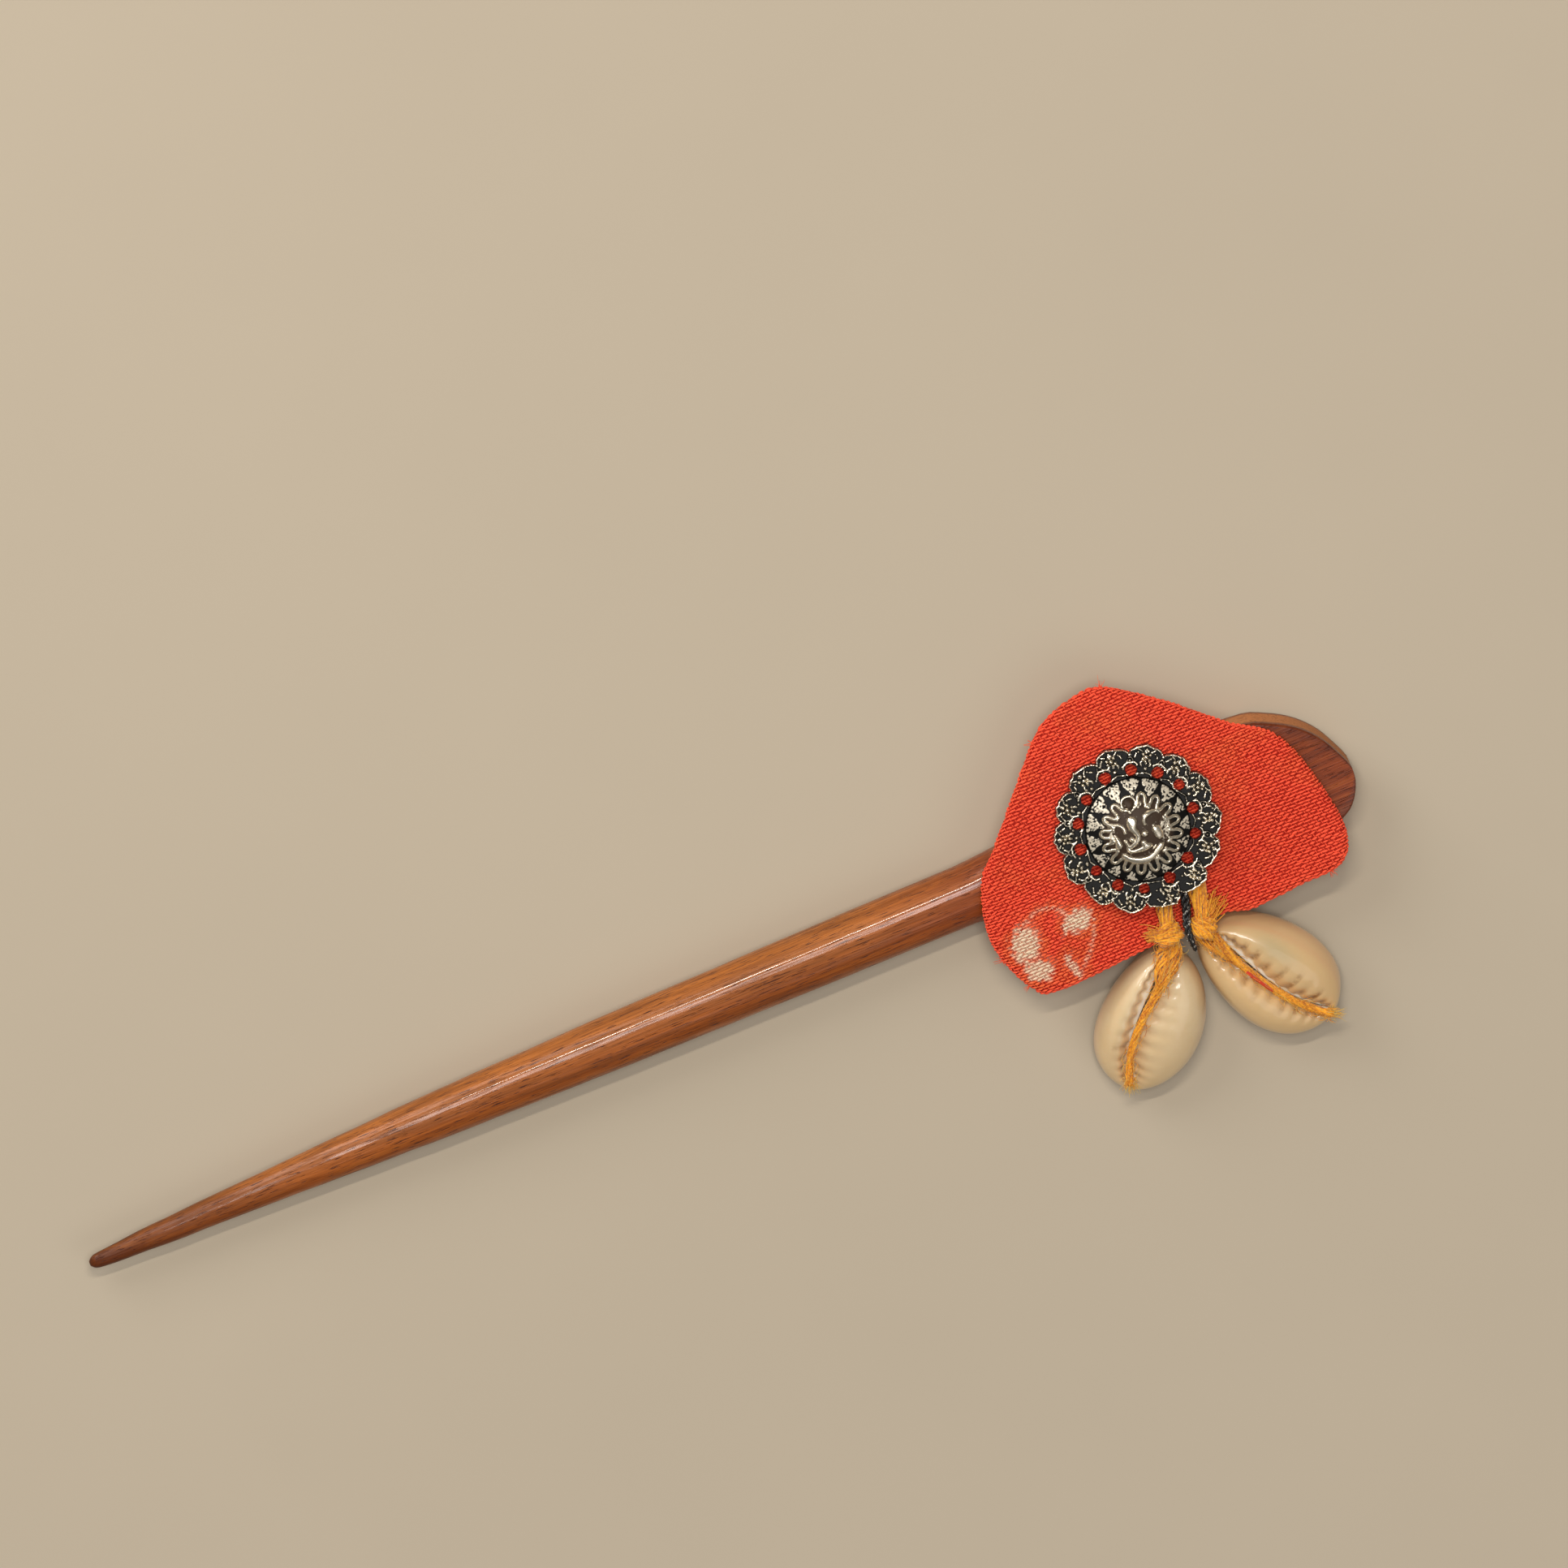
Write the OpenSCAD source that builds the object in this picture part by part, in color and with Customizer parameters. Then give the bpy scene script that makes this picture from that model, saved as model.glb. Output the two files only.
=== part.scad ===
// Hair stick of carved wood with a cloth patch, a cast medallion and two cowrie shells on yarn.
// X runs along the stick towards its head, Y across it, and Z up from the surface that its flat
// back lies on. The origin is the middle of that floor rectangle.

/* [Stick] */
// Length of the stick from its tip to the end of its head
stick_l = 180; // [150:1:220]
// Thickness of the wood at the head
stick_t = 7.2; // [5.5:0.1:9.5]
// Width of the round shaft where the head begins
shaft_w = 8.1; // [6.5:0.1:10]
// Width of the blunt tip
tip_w = 1.4; // [1:0.1:2.4]
// How far the tip bends below the line of the shaft
tip_bend = 0.5; // [0:0.1:1.5]
// Greatest width of the flat head
head_w = 18.7; // [15:0.1:24]
// Length of the head, from where the shaft begins to widen
head_l = 54; // [46:1:64]
// Rounding of the head's long edges
edge_r = 0.5; // [0.2:0.1:1.2]

/* [Cloth] */
// Length of the cloth patch along the stick
cloth_l = 49.3; // [42:0.1:56]
// Width of the cloth patch across the stick
cloth_w = 36.1; // [30:0.1:42]
// Thickness of the two plies at the soft rolled edge
cloth_t = 1.9; // [1.2:0.1:3]
// How far the free edges of the cloth droop
cloth_droop = 1.2; // [0:0.1:2.5]
// Distance from the end of the head to the middle of the cloth
cloth_back = 28.5; // [26:0.1:34]
// How far the middle of the cloth lies off the shaft's line, towards its upper edge
cloth_off = 2; // [0:0.1:3]

/* [Medallion] */
// Diameter over the scallops
medallion_d = 23; // [19:0.1:27]
// Number of scallops and of pierced holes
scallops = 14; // [10:1:16]
// Thickness of the cast flange
flange_t = 1; // [0.7:0.1:1.6]
// Height of the dome above the flange
dome_h = 2.6; // [1.8:0.1:3.4]
// Wall of the hollow dome
dome_wall = 1.1; // [0.8:0.1:1.5]
// Diameter of a pierced hole
pierced_d = 1.6; // [1:0.1:1.9]
// Height of the raised relief above the dome
relief_h = 0.5; // [0.3:0.05:0.9]
// How far the medallion's middle lies from the cloth's, towards the tip and the shells
medallion_off = 0.9; // [0:0.1:1.5]

/* [Shells] */
// Distance from the middle of the cloth back to the left shell's tied end
left_tie = 3.1; // [2.4:0.1:4]
// Distance from the middle of the cloth on to the right shell's tied end
right_tie = 1.7; // [1.2:0.1:2.6]
// Length of the left shell
left_shell_l = 20.7; // [18:0.1:26]
// Width of the left shell
left_shell_w = 14.3; // [12:0.1:17]
// Length of the right shell
right_shell_l = 22; // [19:0.1:27]
// Width of the right shell
right_shell_w = 14.8; // [12:0.1:17]
// Height of a shell above its cut back
shell_h = 6; // [5:0.1:7]
// Wall of a shell
shell_wall = 1; // [0.7:0.1:1.4]
// Width of the slit towards the tied end
slit_near = 3.1; // [2.6:0.1:3.6]
// Width of the slit towards the free end
slit_far = 1.5; // [1.4:0.1:2.2]
// Depth of a tooth beside the slit
tooth_d = 0.3; // [0.1:0.05:0.6]
// Number of teeth on each side of the slit
teeth = 12; // [8:1:16]

/* [Yarn] */
// Diameter of the yarn above the shells
yarn_d = 1.6; // [1.2:0.1:1.9]
// Diameter of the yarn where it lies in a slit
yarn_slit_d = 1.1; // [0.8:0.05:1.2]
// Spread of the left yarn at its knot, as a share of its width in the slit
left_spread = 2.5; // [1:0.1:2.8]
// Spread of the right yarn at its knot, as a share of its width in the slit
right_spread = 1.6; // [1:0.1:2.4]
// Width of a knot
knot_w = 3.8; // [3:0.1:4.6]
// Turn of the left knot's strands against the stick
left_knot_turn = 20; // [-40:5:40]
// Turn of the right knot's strands against the stick
right_knot_turn = -30; // [-40:5:40]
// Diameter of the black cord
cord_d = 1; // [0.6:0.1:1.3]

/* [Fit] */
// Clearance between pieces that lie on each other
gap = 0.3; // [0.2:0.05:0.5]
// Height of a shell's free end above the surface
shell_rest = 0.8; // [0.4:0.1:2]

/* [Hidden] */

// Shaft sections. Columns: share of the shaft's length from the tip, share of its swelling.
SHAFT = [
    [0, 0], [0.008, 0.08], [0.05, 0.2], [0.1, 0.3], [0.155, 0.375], [0.205, 0.445],
    [0.26, 0.535], [0.31, 0.61], [0.41, 0.74], [0.51, 0.82], [0.62, 0.9], [0.72, 0.935],
    [0.87, 0.98]];
// Head sections. Columns: share of the head's length, share of its widening, share of the
// widened width that is left, middle of the width as a share of the head's width.
HEAD = [
    [0, 0, 1, 0], [0.11, 0.085, 1, -0.005], [0.22, 0.265, 1, -0.019], [0.35, 0.54, 1, -0.037],
    [0.48, 0.78, 1, -0.053], [0.61, 0.955, 1, -0.07], [0.7, 1, 1, -0.075],
    [0.8, 1, 0.98, -0.083], [0.857, 1, 0.893, -0.107], [0.9, 1, 0.8, -0.134],
    [0.93, 1, 0.7, -0.158], [0.961, 1, 0.535, -0.187], [0.985, 1, 0.305, -0.211],
    [0.997, 1, 0.14, -0.214], [1, 1, 0.06, -0.2]];
// Outline of the cloth from its middle. Columns: share of its length, share of its width.
CLOTH_EDGE = [
    [-0.045, 0.5], [0.04, 0.495], [0.185, 0.36], [0.31, 0.205], [0.43, 0.075], [0.485, -0.15],
    [0.5, -0.35], [0.455, -0.46], [0.34, -0.475], [0.18, -0.488], [0.11, -0.462],
    [-0.08, -0.472], [-0.375, -0.5], [-0.45, -0.44], [-0.5, -0.235], [-0.47, -0.02],
    [-0.395, 0.1], [-0.2, 0.395], [-0.13, 0.465]];
// Rings of the cloth's surface, front to back. Columns: share of the way out to the edge,
// share of the thickness.
CLOTH_RINGS = [
    [0.45, 0.84], [0.8, 0.88], [0.925, 1], [0.98, 0.84], [1, 0.5], [0.98, 0.14], [0.925, 0],
    [0.5, 0]];
// Section of a shell's wall, from its cut rim over the crest to the slit and back inside.
// Columns: share of the way from the rim to the slit, share of the height, shares of the wall
// that the point lies inwards and downwards, 1 where the teeth reach.
SHELL_WALL = [
    [0.03, 0, 0, 0, 0], [0, 0.24, 0, 0, 0], [0.07, 0.56, 0, 0, 0], [0.22, 0.83, 0, 0, 0],
    [0.48, 0.98, 0, 0, 0], [0.78, 0.97, 0, 0, 0.3], [1, 0.78, 0, 0, 1],
    [0.8, 0.97, 0, -1, 0.3], [0.34, 0.93, 0.2, -1, 0], [0.07, 0.56, 1, -0.3, 0],
    [0.03, 0, 1, 0, 0]];
// Points of a yarn on a shell. Columns: share of the way along the shell, share of the slit's
// spare width that it lies aside, share of the face's height that its underside has, share of the
// spread that it has at its knot.
YARN_IN_SLIT = [
    [-0.04, 0, 1, 1], [0.05, 0, 1.06, 0.9], [0.13, 0.1, 1.04, 0.5], [0.24, 0.5, 0.9, 0.1],
    [0.42, 0.3, 0.84, 0], [0.62, 0, 0.84, 0], [0.78, 0, 0.88, 0], [0.87, 0, 1, 0],
    [0.905, 0, 1.02, 0.05]];
// Points of the black cord. Columns: share of the way from under the medallion to the cloth's edge,
// share of the distance between the knots that it lies aside, rise as a share of a knot's width,
// share of its radius.
CORD = [[0, 0.36, 0, 1.35], [0.37, 0.27, 0.16, 1.3], [0.67, 0.07, 0.48, 1.1],
    [0.95, 0.02, 0.46, 0.8], [1.16, 0.035, 0.28, 0.6]];
// Strokes of the raised figure, in shares of the dome's radius from its middle, the photograph's
// right and up. Each stroke is a row of points. Columns: right, up, radius. The first is the bead
// that stands in the ring of petals.
FIGURE = [
    [[-0.26, 0.63, 0.09], [-0.265, 0.6, 0.09]],
    [[-0.2, 0.3, 0.085], [-0.16, 0.18, 0.07], [-0.07, 0.02, 0.05], [-0.11, -0.14, 0.05],
        [-0.19, -0.2, 0.045], [-0.29, -0.07, 0.035]],
    [[-0.19, -0.08, 0.05], [-0.17, -0.1, 0.05]],
    [[-0.62, 0.27, 0.03], [-0.41, 0.2, 0.04], [-0.32, 0.05, 0.045]],
    [[0.04, 0.19, 0.04], [0.06, 0.38, 0.05], [0.26, 0.48, 0.05], [0.41, 0.39, 0.04]],
    [[0.31, 0.14, 0.055], [0.33, 0.05, 0.07]],
    [[0.04, 0.05, 0.05], [0.06, 0.05, 0.05]],
    [[-0.45, -0.12, 0.035], [-0.45, -0.22, 0.055]],
    [[-0.27, -0.25, 0.04], [-0.08, -0.28, 0.055], [0.06, -0.17, 0.07], [0.19, -0.2, 0.045]],
    [[-0.35, -0.37, 0.05], [-0.16, -0.49, 0.06], [0.07, -0.51, 0.06], [0.26, -0.37, 0.055],
        [0.4, -0.15, 0.055]]];

// Sides of a round tube and points on a rounded corner of the wood
tube_sides = 8;
corner_steps = 4;
shaft_l = stick_l - head_l;
// Part of half the thickness that a round section's corner takes
full_round = 0.96;

cloth_x = stick_l / 2 - cloth_back;
cloth_y = cloth_off;
cloth_z = stick_t + gap;
cloth_front = cloth_z + cloth_t;
// Face of the cloth inside its thicker edge
cloth_face = cloth_z + CLOTH_RINGS[1][1] * cloth_t;
// Outline of the cloth, without the shift of the axis
cloth_outline = [for (p = closed_curve(CLOTH_EDGE, 3))
    [cloth_x + p[0] * cloth_l, cloth_y + p[1] * cloth_w]];
cloth_high = max([for (p = cloth_outline) p[1]]);
cloth_low = min([for (p = cloth_outline) p[1]]);

medallion_r = medallion_d / 2;
medallion_x = cloth_x - medallion_off;
medallion_y = cloth_y - medallion_off;
// Place under the lower rim, as a share of the radius, where the yarn comes out
under_share = 0.82;
// The lower rim lifts until the yarn fits under it
medallion_tilt = asin((yarn_d + 1.4 * gap) / ((1 + under_share) * medallion_r));
medallion_z = cloth_face + gap + medallion_r * sin(medallion_tilt);
// Turn of the figure against the stick's line
medallion_turn = -22.65;
dome_r = 0.61 * medallion_r;
dome_curve = (dome_r * dome_r + dome_h * dome_h) / (2 * dome_h);
hole_ring = 0.69 * medallion_r;
hole_start = 97;
petals = 16;
petal_start = 112.5;

// Points around a shell's slit
around = 4 * (teeth + 2);
// Shells, one row each, in the order that shell_row gives
LEFT = shell_row(left_shell_l, left_shell_w, [cloth_x - left_tie, cloth_low - gap], 0.72,
    -125, 0, side = [0.465, 0.28, 0.04], slit = [0.119, 1.4, 0, 0], yarn = [1, left_spread, 1]);
RIGHT = shell_row(right_shell_l, right_shell_w, [cloth_x + right_tie, cloth_low + gap], 0.8,
    -56, 10, side = [0.495, 0.28, 0.12], slit = [0.05, 1.8, 0.06, 0.08],
    yarn = [-0.5, right_spread, 1.05]);
shell_low = min([for (p = concat(shell_rim(LEFT), shell_rim(RIGHT))) p[1]]);
// Line of the shaft above the middle of the floor rectangle
axis_y = -(cloth_high + shell_low) / 2;

// One row for a shell, with the dip that brings its free end down to the surface. Columns: length,
// width, tied end, heading, dip, roll, side, slit, yarn. side holds the share of the width that lies
// to the left of the slit's line, and how much each side leans to the free end. slit holds its bow
// as a share of the width, the power that carries the bow along, and its shifts at the tied end and
// the free end. yarn holds the side of the slit on which it lies, its spread and its reach.
function shell_row(l, w, end, sink, heading, roll, side, slit, yarn) =
    let (z = cloth_front - sink * shell_h,
        rolled_side = 0.3 * w,
        low = shell_rest + rolled_side * sin(roll))
    [l, w, [end[0], end[1], z], heading, asin((z - low) / l), roll, side, slit, yarn];

// Value between a and b
function mix(a, b, f) = a + (b - a) * f;

// Point of a smooth curve between its second and third point
function curve_at(a, b, c, d, f) =
    0.5 * (2 * b + (c - a) * f + (2 * a - 5 * b + 4 * c - d) * f * f
        + (3 * b - a - 3 * c + d) * f * f * f);

// Smooth closed outline through points
function closed_curve(points, steps) =
    let (n = len(points))
    [for (i = [0:n - 1], k = [0:steps - 1])
        curve_at(points[(i + n - 1) % n], points[i], points[(i + 1) % n], points[(i + 2) % n],
            k / steps)];

// Smooth open line through points, which may be of any dimension
function open_curve(points, steps) =
    let (n = len(points))
    concat(
        [for (i = [0:n - 2], k = [0:steps - 1])
            curve_at(points[max(i - 1, 0)], points[i], points[i + 1], points[min(i + 2, n - 1)],
                k / steps)],
        [points[n - 1]]);

// Row of a table between two rows, found by its first column
function row_at(table, f, i = 0) =
    i >= len(table) - 2 || f <= table[i + 1][0]
        ? mix(table[i], table[i + 1], (f - table[i][0]) / (table[i + 1][0] - table[i][0]))
        : row_at(table, f, i + 1);

// Closed surface through rings of equal length, with both ends capped
module skin(rings) {
    n = len(rings[0]);
    m = len(rings);
    sides = [for (j = [0:m - 2], i = [0:n - 1])
        [j * n + i, (j + 1) * n + i, (j + 1) * n + (i + 1) % n, j * n + (i + 1) % n]];
    first = [[for (i = [0:n - 1]) i]];
    last = [[for (i = [n - 1:-1:0]) (m - 1) * n + i]];
    polyhedron([for (ring = rings) each ring], concat(sides, first, last));
}

// Section of the wood: a rectangle with round corners, standing across the stick
function wood_section(x, middle, w, t, r) =
    let (c = min(r, full_round * w / 2))
    [for (q = [0:3], k = [0:corner_steps])
        let (a = 90 * (q + k / corner_steps),
            sy = q == 0 || q == 3 ? 1 : -1,
            sz = q < 2 ? 1 : -1)
        [x, axis_y + middle + sy * (w / 2 - c) + c * cos(a),
            stick_t / 2 + sz * (t / 2 - c) + c * sin(a)]];

// Head's width and middle at a place along the stick
function head_width(x) =
    let (row = row_at(HEAD, max(0, min(1, (x + stick_l / 2 - shaft_l) / head_l))))
    (shaft_w + (head_w - shaft_w) * row[1]) * row[2];
function head_middle(x) =
    head_w * row_at(HEAD, max(0, min(1, (x + stick_l / 2 - shaft_l) / head_l)))[3];

module stick() {
    shaft_rings = [for (row = SHAFT)
        let (w = mix(tip_w, shaft_w, row[1]),
            t = stick_t * w / shaft_w)
        wood_section(row[0] * shaft_l - stick_l / 2, -tip_bend * pow(1 - row[0], 4), w, t,
            full_round * t / 2)];
    head_rings = [for (row = HEAD)
        let (x = shaft_l - stick_l / 2 + row[0] * head_l,
            sharp = min(1, 1.6 * row[1]))
        wood_section(x, head_middle(x), head_width(x), stick_t,
            mix(full_round * stick_t / 2, edge_r, sharp))];
    color("#8f4a22") skin(concat(shaft_rings, head_rings));
}

// Droop of the cloth where it reaches past the wood
function droop_at(x, y) =
    let (past = abs(y - head_middle(x)) - head_width(x) / 2,
        reach = cloth_w / 3)
    cloth_droop * pow(min(1.2, max(0, past) / reach), 2);

function cloth_point(p, out, up) =
    let (x = mix(cloth_x, p[0], out),
        y = mix(cloth_y, p[1], out))
    [x, axis_y + y, cloth_z + up * cloth_t - droop_at(x, y)];

module cloth_patch() {
    color("#e2452c")
        skin([for (ring = CLOTH_RINGS)
            [for (p = cloth_outline) cloth_point(p, ring[0], ring[1])]]);
}

// Height of the dome's outside at a distance from its middle
function dome_z(r) = flange_t + dome_h - dome_curve + sqrt(max(0, dome_curve * dome_curve - r * r));

// Outline of the medallion, whose scallops lie between the holes, set inwards by a width
function scallop_points(inset) =
    let (arc_r = 0.205 * medallion_r,
        middle = medallion_r - arc_r,
        half = 180 / scallops,
        open = half + asin(middle * sin(half) / arc_r))
    [for (i = [0:scallops - 1], k = [-0.93, -0.62, -0.2, 0.2, 0.62, 0.93])
        let (turn = hole_start + (i + 0.5) * 360 / scallops,
            a = open * k)
        middle * [cos(turn), sin(turn)] + (arc_r - inset) * [cos(turn + a), sin(turn + a)]];

// Cluster of beads on one scallop, along X
module bead_cluster() {
    bead_r = 0.034 * medallion_r;
    middle = 0.855 * medallion_r;
    for (a = [36:72:324])
        translate([middle + 2.4 * bead_r * cos(a), 2.4 * bead_r * sin(a), flange_t + 0.3 * bead_r])
            sphere(r = bead_r, $fn = 4);
    translate([middle, 0, flange_t + 0.3 * bead_r])
        sphere(r = bead_r, $fn = 4);
}

// Flat ray of the sunburst on the dome, along X, which widens outwards between two petals
module dome_ray() {
    at = 0.86 * dome_r;
    half = 0.85 * at * sin(180 / petals);
    translate([at, 0, dome_z(at)])
        rotate([0, asin(at / dome_curve), 0])
            translate([0, 0, -relief_h])
                linear_extrude(height = 1.6 * relief_h)
                    polygon([[-0.12 * dome_r, 0], [0.1 * dome_r, -half], [0.1 * dome_r, half]]);
}

// Small petal loop that stands on the dome, along X
module petal_loop() {
    at = 0.68 * dome_r;
    loop_r = 0.085 * dome_r;
    translate([at, 0, dome_z(at)])
        rotate([0, asin(at / dome_curve), 0])
            translate([0, 0, -relief_h])
                linear_extrude(height = 1.6 * relief_h)
                    scale([1.3, 1])
                        difference() {
                            circle(r = loop_r, $fn = 8);
                            circle(r = 0.5 * loop_r, $fn = 6);
                        }
}

// Rounded stroke of the figure through points on the dome
module stroke(points) {
    for (i = [1:len(points) - 1])
        hull()
            for (p = [points[i - 1], points[i]])
                translate([p[0] * dome_r, p[1] * dome_r,
                    dome_z(dome_r * norm([p[0], p[1]])) + min(relief_h, 1.3 * p[2] * dome_r)
                        - p[2] * dome_r])
                    sphere(r = p[2] * dome_r, $fn = 6);
}

// Half of the dome's section, thickened inwards by a wall
module dome_section(wall, steps) {
    curve = dome_curve - wall;
    edge = asin((dome_r - wall) / curve);
    foot = wall > 0 ? -flange_t : 0.1 * flange_t;
    middle_z = flange_t + dome_h - dome_curve;
    polygon(concat(
        [[0, foot], [dome_r - wall, foot]],
        [for (k = [steps:-1:0])
            let (a = edge * k / steps)
            [curve * sin(a), middle_z + curve * cos(a)]]));
}

module medallion() {
    color("#8d8a83")
        translate([medallion_x, axis_y + medallion_y, medallion_z])
            rotate([-medallion_tilt, 0, 0])
                rotate(medallion_turn) {
                    difference() {
                        union() {
                            linear_extrude(height = flange_t)
                                polygon(scallop_points(0));
                            translate([0, 0, 0.5 * flange_t])
                                linear_extrude(height = 0.5 * flange_t + 0.6 * relief_h)
                                    difference() {
                                        polygon(scallop_points(0));
                                        polygon(scallop_points(0.045 * medallion_r));
                                    }
                            rotate_extrude($fn = 40) dome_section(0, 5);
                        }
                        // Hollow under the dome
                        rotate_extrude($fn = 24) dome_section(dome_wall, 3);
                        for (i = [0:scallops - 1])
                            rotate(hole_start + i * 360 / scallops)
                                translate([hole_ring, 0, -flange_t])
                                    cylinder(d = pierced_d, h = 4 * flange_t, $fn = 9);
                    }
                    for (i = [0:scallops - 1])
                        rotate(hole_start + (i + 0.5) * 360 / scallops)
                            bead_cluster();
                    for (i = [0:petals - 1])
                        rotate(petal_start + (i + 0.5) * 360 / petals)
                            dome_ray();
                    // One place in the ring of petals holds a bead
                    for (i = [1:petals - 1])
                        rotate(petal_start + i * 360 / petals)
                            petal_loop();
                    for (line = FIGURE)
                        stroke(line);
                }
}

// Directions of a shell: along its slit, across it and out of its face
function shell_axes(s) =
    let (along = [cos(s[4]) * cos(s[3]), cos(s[4]) * sin(s[3]), -sin(s[4])],
        flat = [-sin(s[3]), cos(s[3]), 0],
        out = cross(along, flat))
    [along, cos(s[5]) * flat + sin(s[5]) * out, cos(s[5]) * out - sin(s[5]) * flat];

// Place in the object of a point that is given in a shell's own directions
function shell_place(s, p) =
    let (axes = shell_axes(s))
    s[2] + p[0] * axes[0] + p[1] * axes[1] + p[2] * axes[2];

// Points of a shell's rim and slit at an angle around it. 0 is the tied end, 180 the free end.
function rim_point(s, a) =
    let (half = s[1] * (sin(a) < 0 ? s[6][0] : 1 - s[6][0]),
        lean = sin(a) < 0 ? s[6][1] : s[6][2])
    [s[0] / 2 * (1 - cos(a)), half * sin(a) * (1 - lean * cos(a)) / (1 + 0.18 * lean)];
function slit_middle(s, f) =
    s[1] * (s[7][2] * pow(1 - f, 2) + s[7][3] * pow(f, 4) - s[7][0] * sin(180 * pow(f, s[7][1])));
// Half the slit's width: it narrows over its near half and closes at its two ends
function slit_half(f) =
    let (end = max(-1, min(1, (0.5 - f) / 0.44)),
        taper = max(0, min(1, (f - 0.15) / 0.4)))
    mix(slit_near, slit_far, taper) / 2 * pow(1 - end * end, 0.25);
function slit_point(s, a, tooth) =
    let (f = 0.5 - 0.44 * cos(a),
        half = slit_half(f) + tooth)
    [s[0] * f, slit_middle(s, f) + (sin(a) < 0 ? -half : half)];

// Height of the face along a shell, lower at its two notched ends
function face_share(f) = 0.58 + 0.42 * pow(max(0, sin(180 * f)), 0.7);

function shell_ring(s, row) =
    [for (i = [0:around - 1])
        let (a = 360 * (i + 0.5) / around,
            long_side = abs(sin(a)) > 0.35,
            tooth = long_side ? (i % 2 == 0 ? tooth_d : -0.1 * tooth_d) * row[4] : 0,
            rim = rim_point(s, a),
            slit = slit_point(s, a, tooth),
            p = mix(rim, slit, row[0]),
            inward = (slit - rim) / norm(slit - rim),
            f = max(0, min(1, p[0] / s[0])),
            reach = min(shell_wall, 0.4 * norm(slit - rim)))
        [each (p + row[2] * reach * inward),
            max(0, row[1] * shell_h * face_share(f) + row[3] * shell_wall)]];

// Rim of a shell in the object, without the shift of the axis
function shell_rim(s) = [for (p = shell_ring(s, SHELL_WALL[1])) shell_place(s, p)];

// Closed surface of a ring-shaped wall
module shell(s) {
    rings = [for (row = SHELL_WALL) [for (p = shell_ring(s, row)) shell_place(s, p)]];
    m = len(rings);
    n = around;
    points = [for (ring = rings, p = ring) p + [0, axis_y, 0]];
    faces = [for (j = [0:m - 1], i = [0:n - 1])
        [j * n + i, j * n + (i + 1) % n, ((j + 1) % m) * n + (i + 1) % n, ((j + 1) % m) * n + i]];
    polyhedron(points, faces);
}

module left_cowrie() {
    color("#e8d3ae") shell(LEFT);
}

module right_cowrie() {
    color("#e3c9a3") shell(RIGHT);
}

// Rings of a tube. Each point of the route holds half its width and half its height last.
function tube_rings(route) =
    let (n = len(route))
    [for (i = [0:n - 1])
        let (at = [for (k = [0:2]) route[i][k]],
            step = [for (k = [0:2]) route[min(i + 1, n - 1)][k] - route[max(i - 1, 0)][k]],
            side = cross([0, 0, 1], step) / norm(cross([0, 0, 1], step)),
            up = cross(step, side) / norm(step))
        [for (k = [0:tube_sides - 1])
            let (a = 360 * k / tube_sides)
            at + [0, axis_y, 0] + route[i][3] * cos(a) * side + route[i][4] * sin(a) * up]];

function slit_route(s) =
    [for (row = YARN_IN_SLIT)
        let (f = max(0, s[8][2] * row[0]),
            r = yarn_slit_d / 2,
            spare = max(0, slit_half(f) - r - gap / 3))
        [each shell_place(s, [s[8][2] * row[0] * s[0], slit_middle(s, f) + s[8][0] * row[1] * spare,
            row[2] * shell_h * face_share(f) + r + gap / 2]), r * (1 + s[8][1] * row[3]), r]];

// Tied ends of the yarns under the medallion's lower rim
yarn_r = yarn_d / 2;
under_y = medallion_y - under_share * medallion_r;
under_z = cloth_face + 0.9 * gap + yarn_r;
knot_z = cloth_front + gap + 0.34 * knot_w;
left_knot = [cloth_x - left_tie + 0.18 * knot_w, cloth_low + 0.6 * knot_w, knot_z];
right_knot = [cloth_x + right_tie + 0.13 * knot_w, cloth_low + 0.34 * knot_w, knot_z];

// Knot: turns of the yarn that lie side by side
module knot(at, turn) {
    strand = 0.17 * knot_w;
    for (k = [-1:1])
        translate([at[0], at[1] + axis_y, at[2]])
            rotate(turn + 14 * k)
                translate([0, 1.25 * strand * k, 0])
                    hull()
                        for (a = [0:90:270])
                            translate([(knot_w / 2 - strand) * cos(a), 0,
                                (0.31 * knot_w - strand) * sin(a)])
                                sphere(r = strand, $fn = 6);
}

// Short cut end of the yarn that stands off the knot
module tuft(from, to) {
    hull() {
        translate(from + [0, axis_y, 0])
            sphere(r = 0.4 * yarn_r, $fn = 6);
        translate(to + [0, axis_y, 0])
            sphere(r = 0.8 * yarn_r, $fn = 6);
    }
}

module left_yarn() {
    route = concat(
        [[left_knot[0] + 0.7 * yarn_d, under_y, under_z, yarn_r, yarn_r],
            [each left_knot, yarn_r, yarn_r]],
        slit_route(LEFT));
    color("#f0961e") {
        skin(tube_rings(open_curve(route, 2)));
        knot(left_knot, left_knot_turn);
        tuft(left_knot, left_knot + knot_w * [-0.79, 0.24, -0.05]);
    }
}

module right_yarn() {
    route = concat(
        [[right_knot[0] + 0.9 * yarn_d, under_y, under_z, yarn_r, yarn_r],
            [each right_knot, yarn_r, yarn_r]],
        slit_route(RIGHT));
    color("#f0961e") {
        skin(tube_rings(open_curve(route, 2)));
        knot(right_knot, right_knot_turn);
        tuft(right_knot, right_knot + knot_w * [0.92, 0.84, 0]);
    }
}

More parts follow.
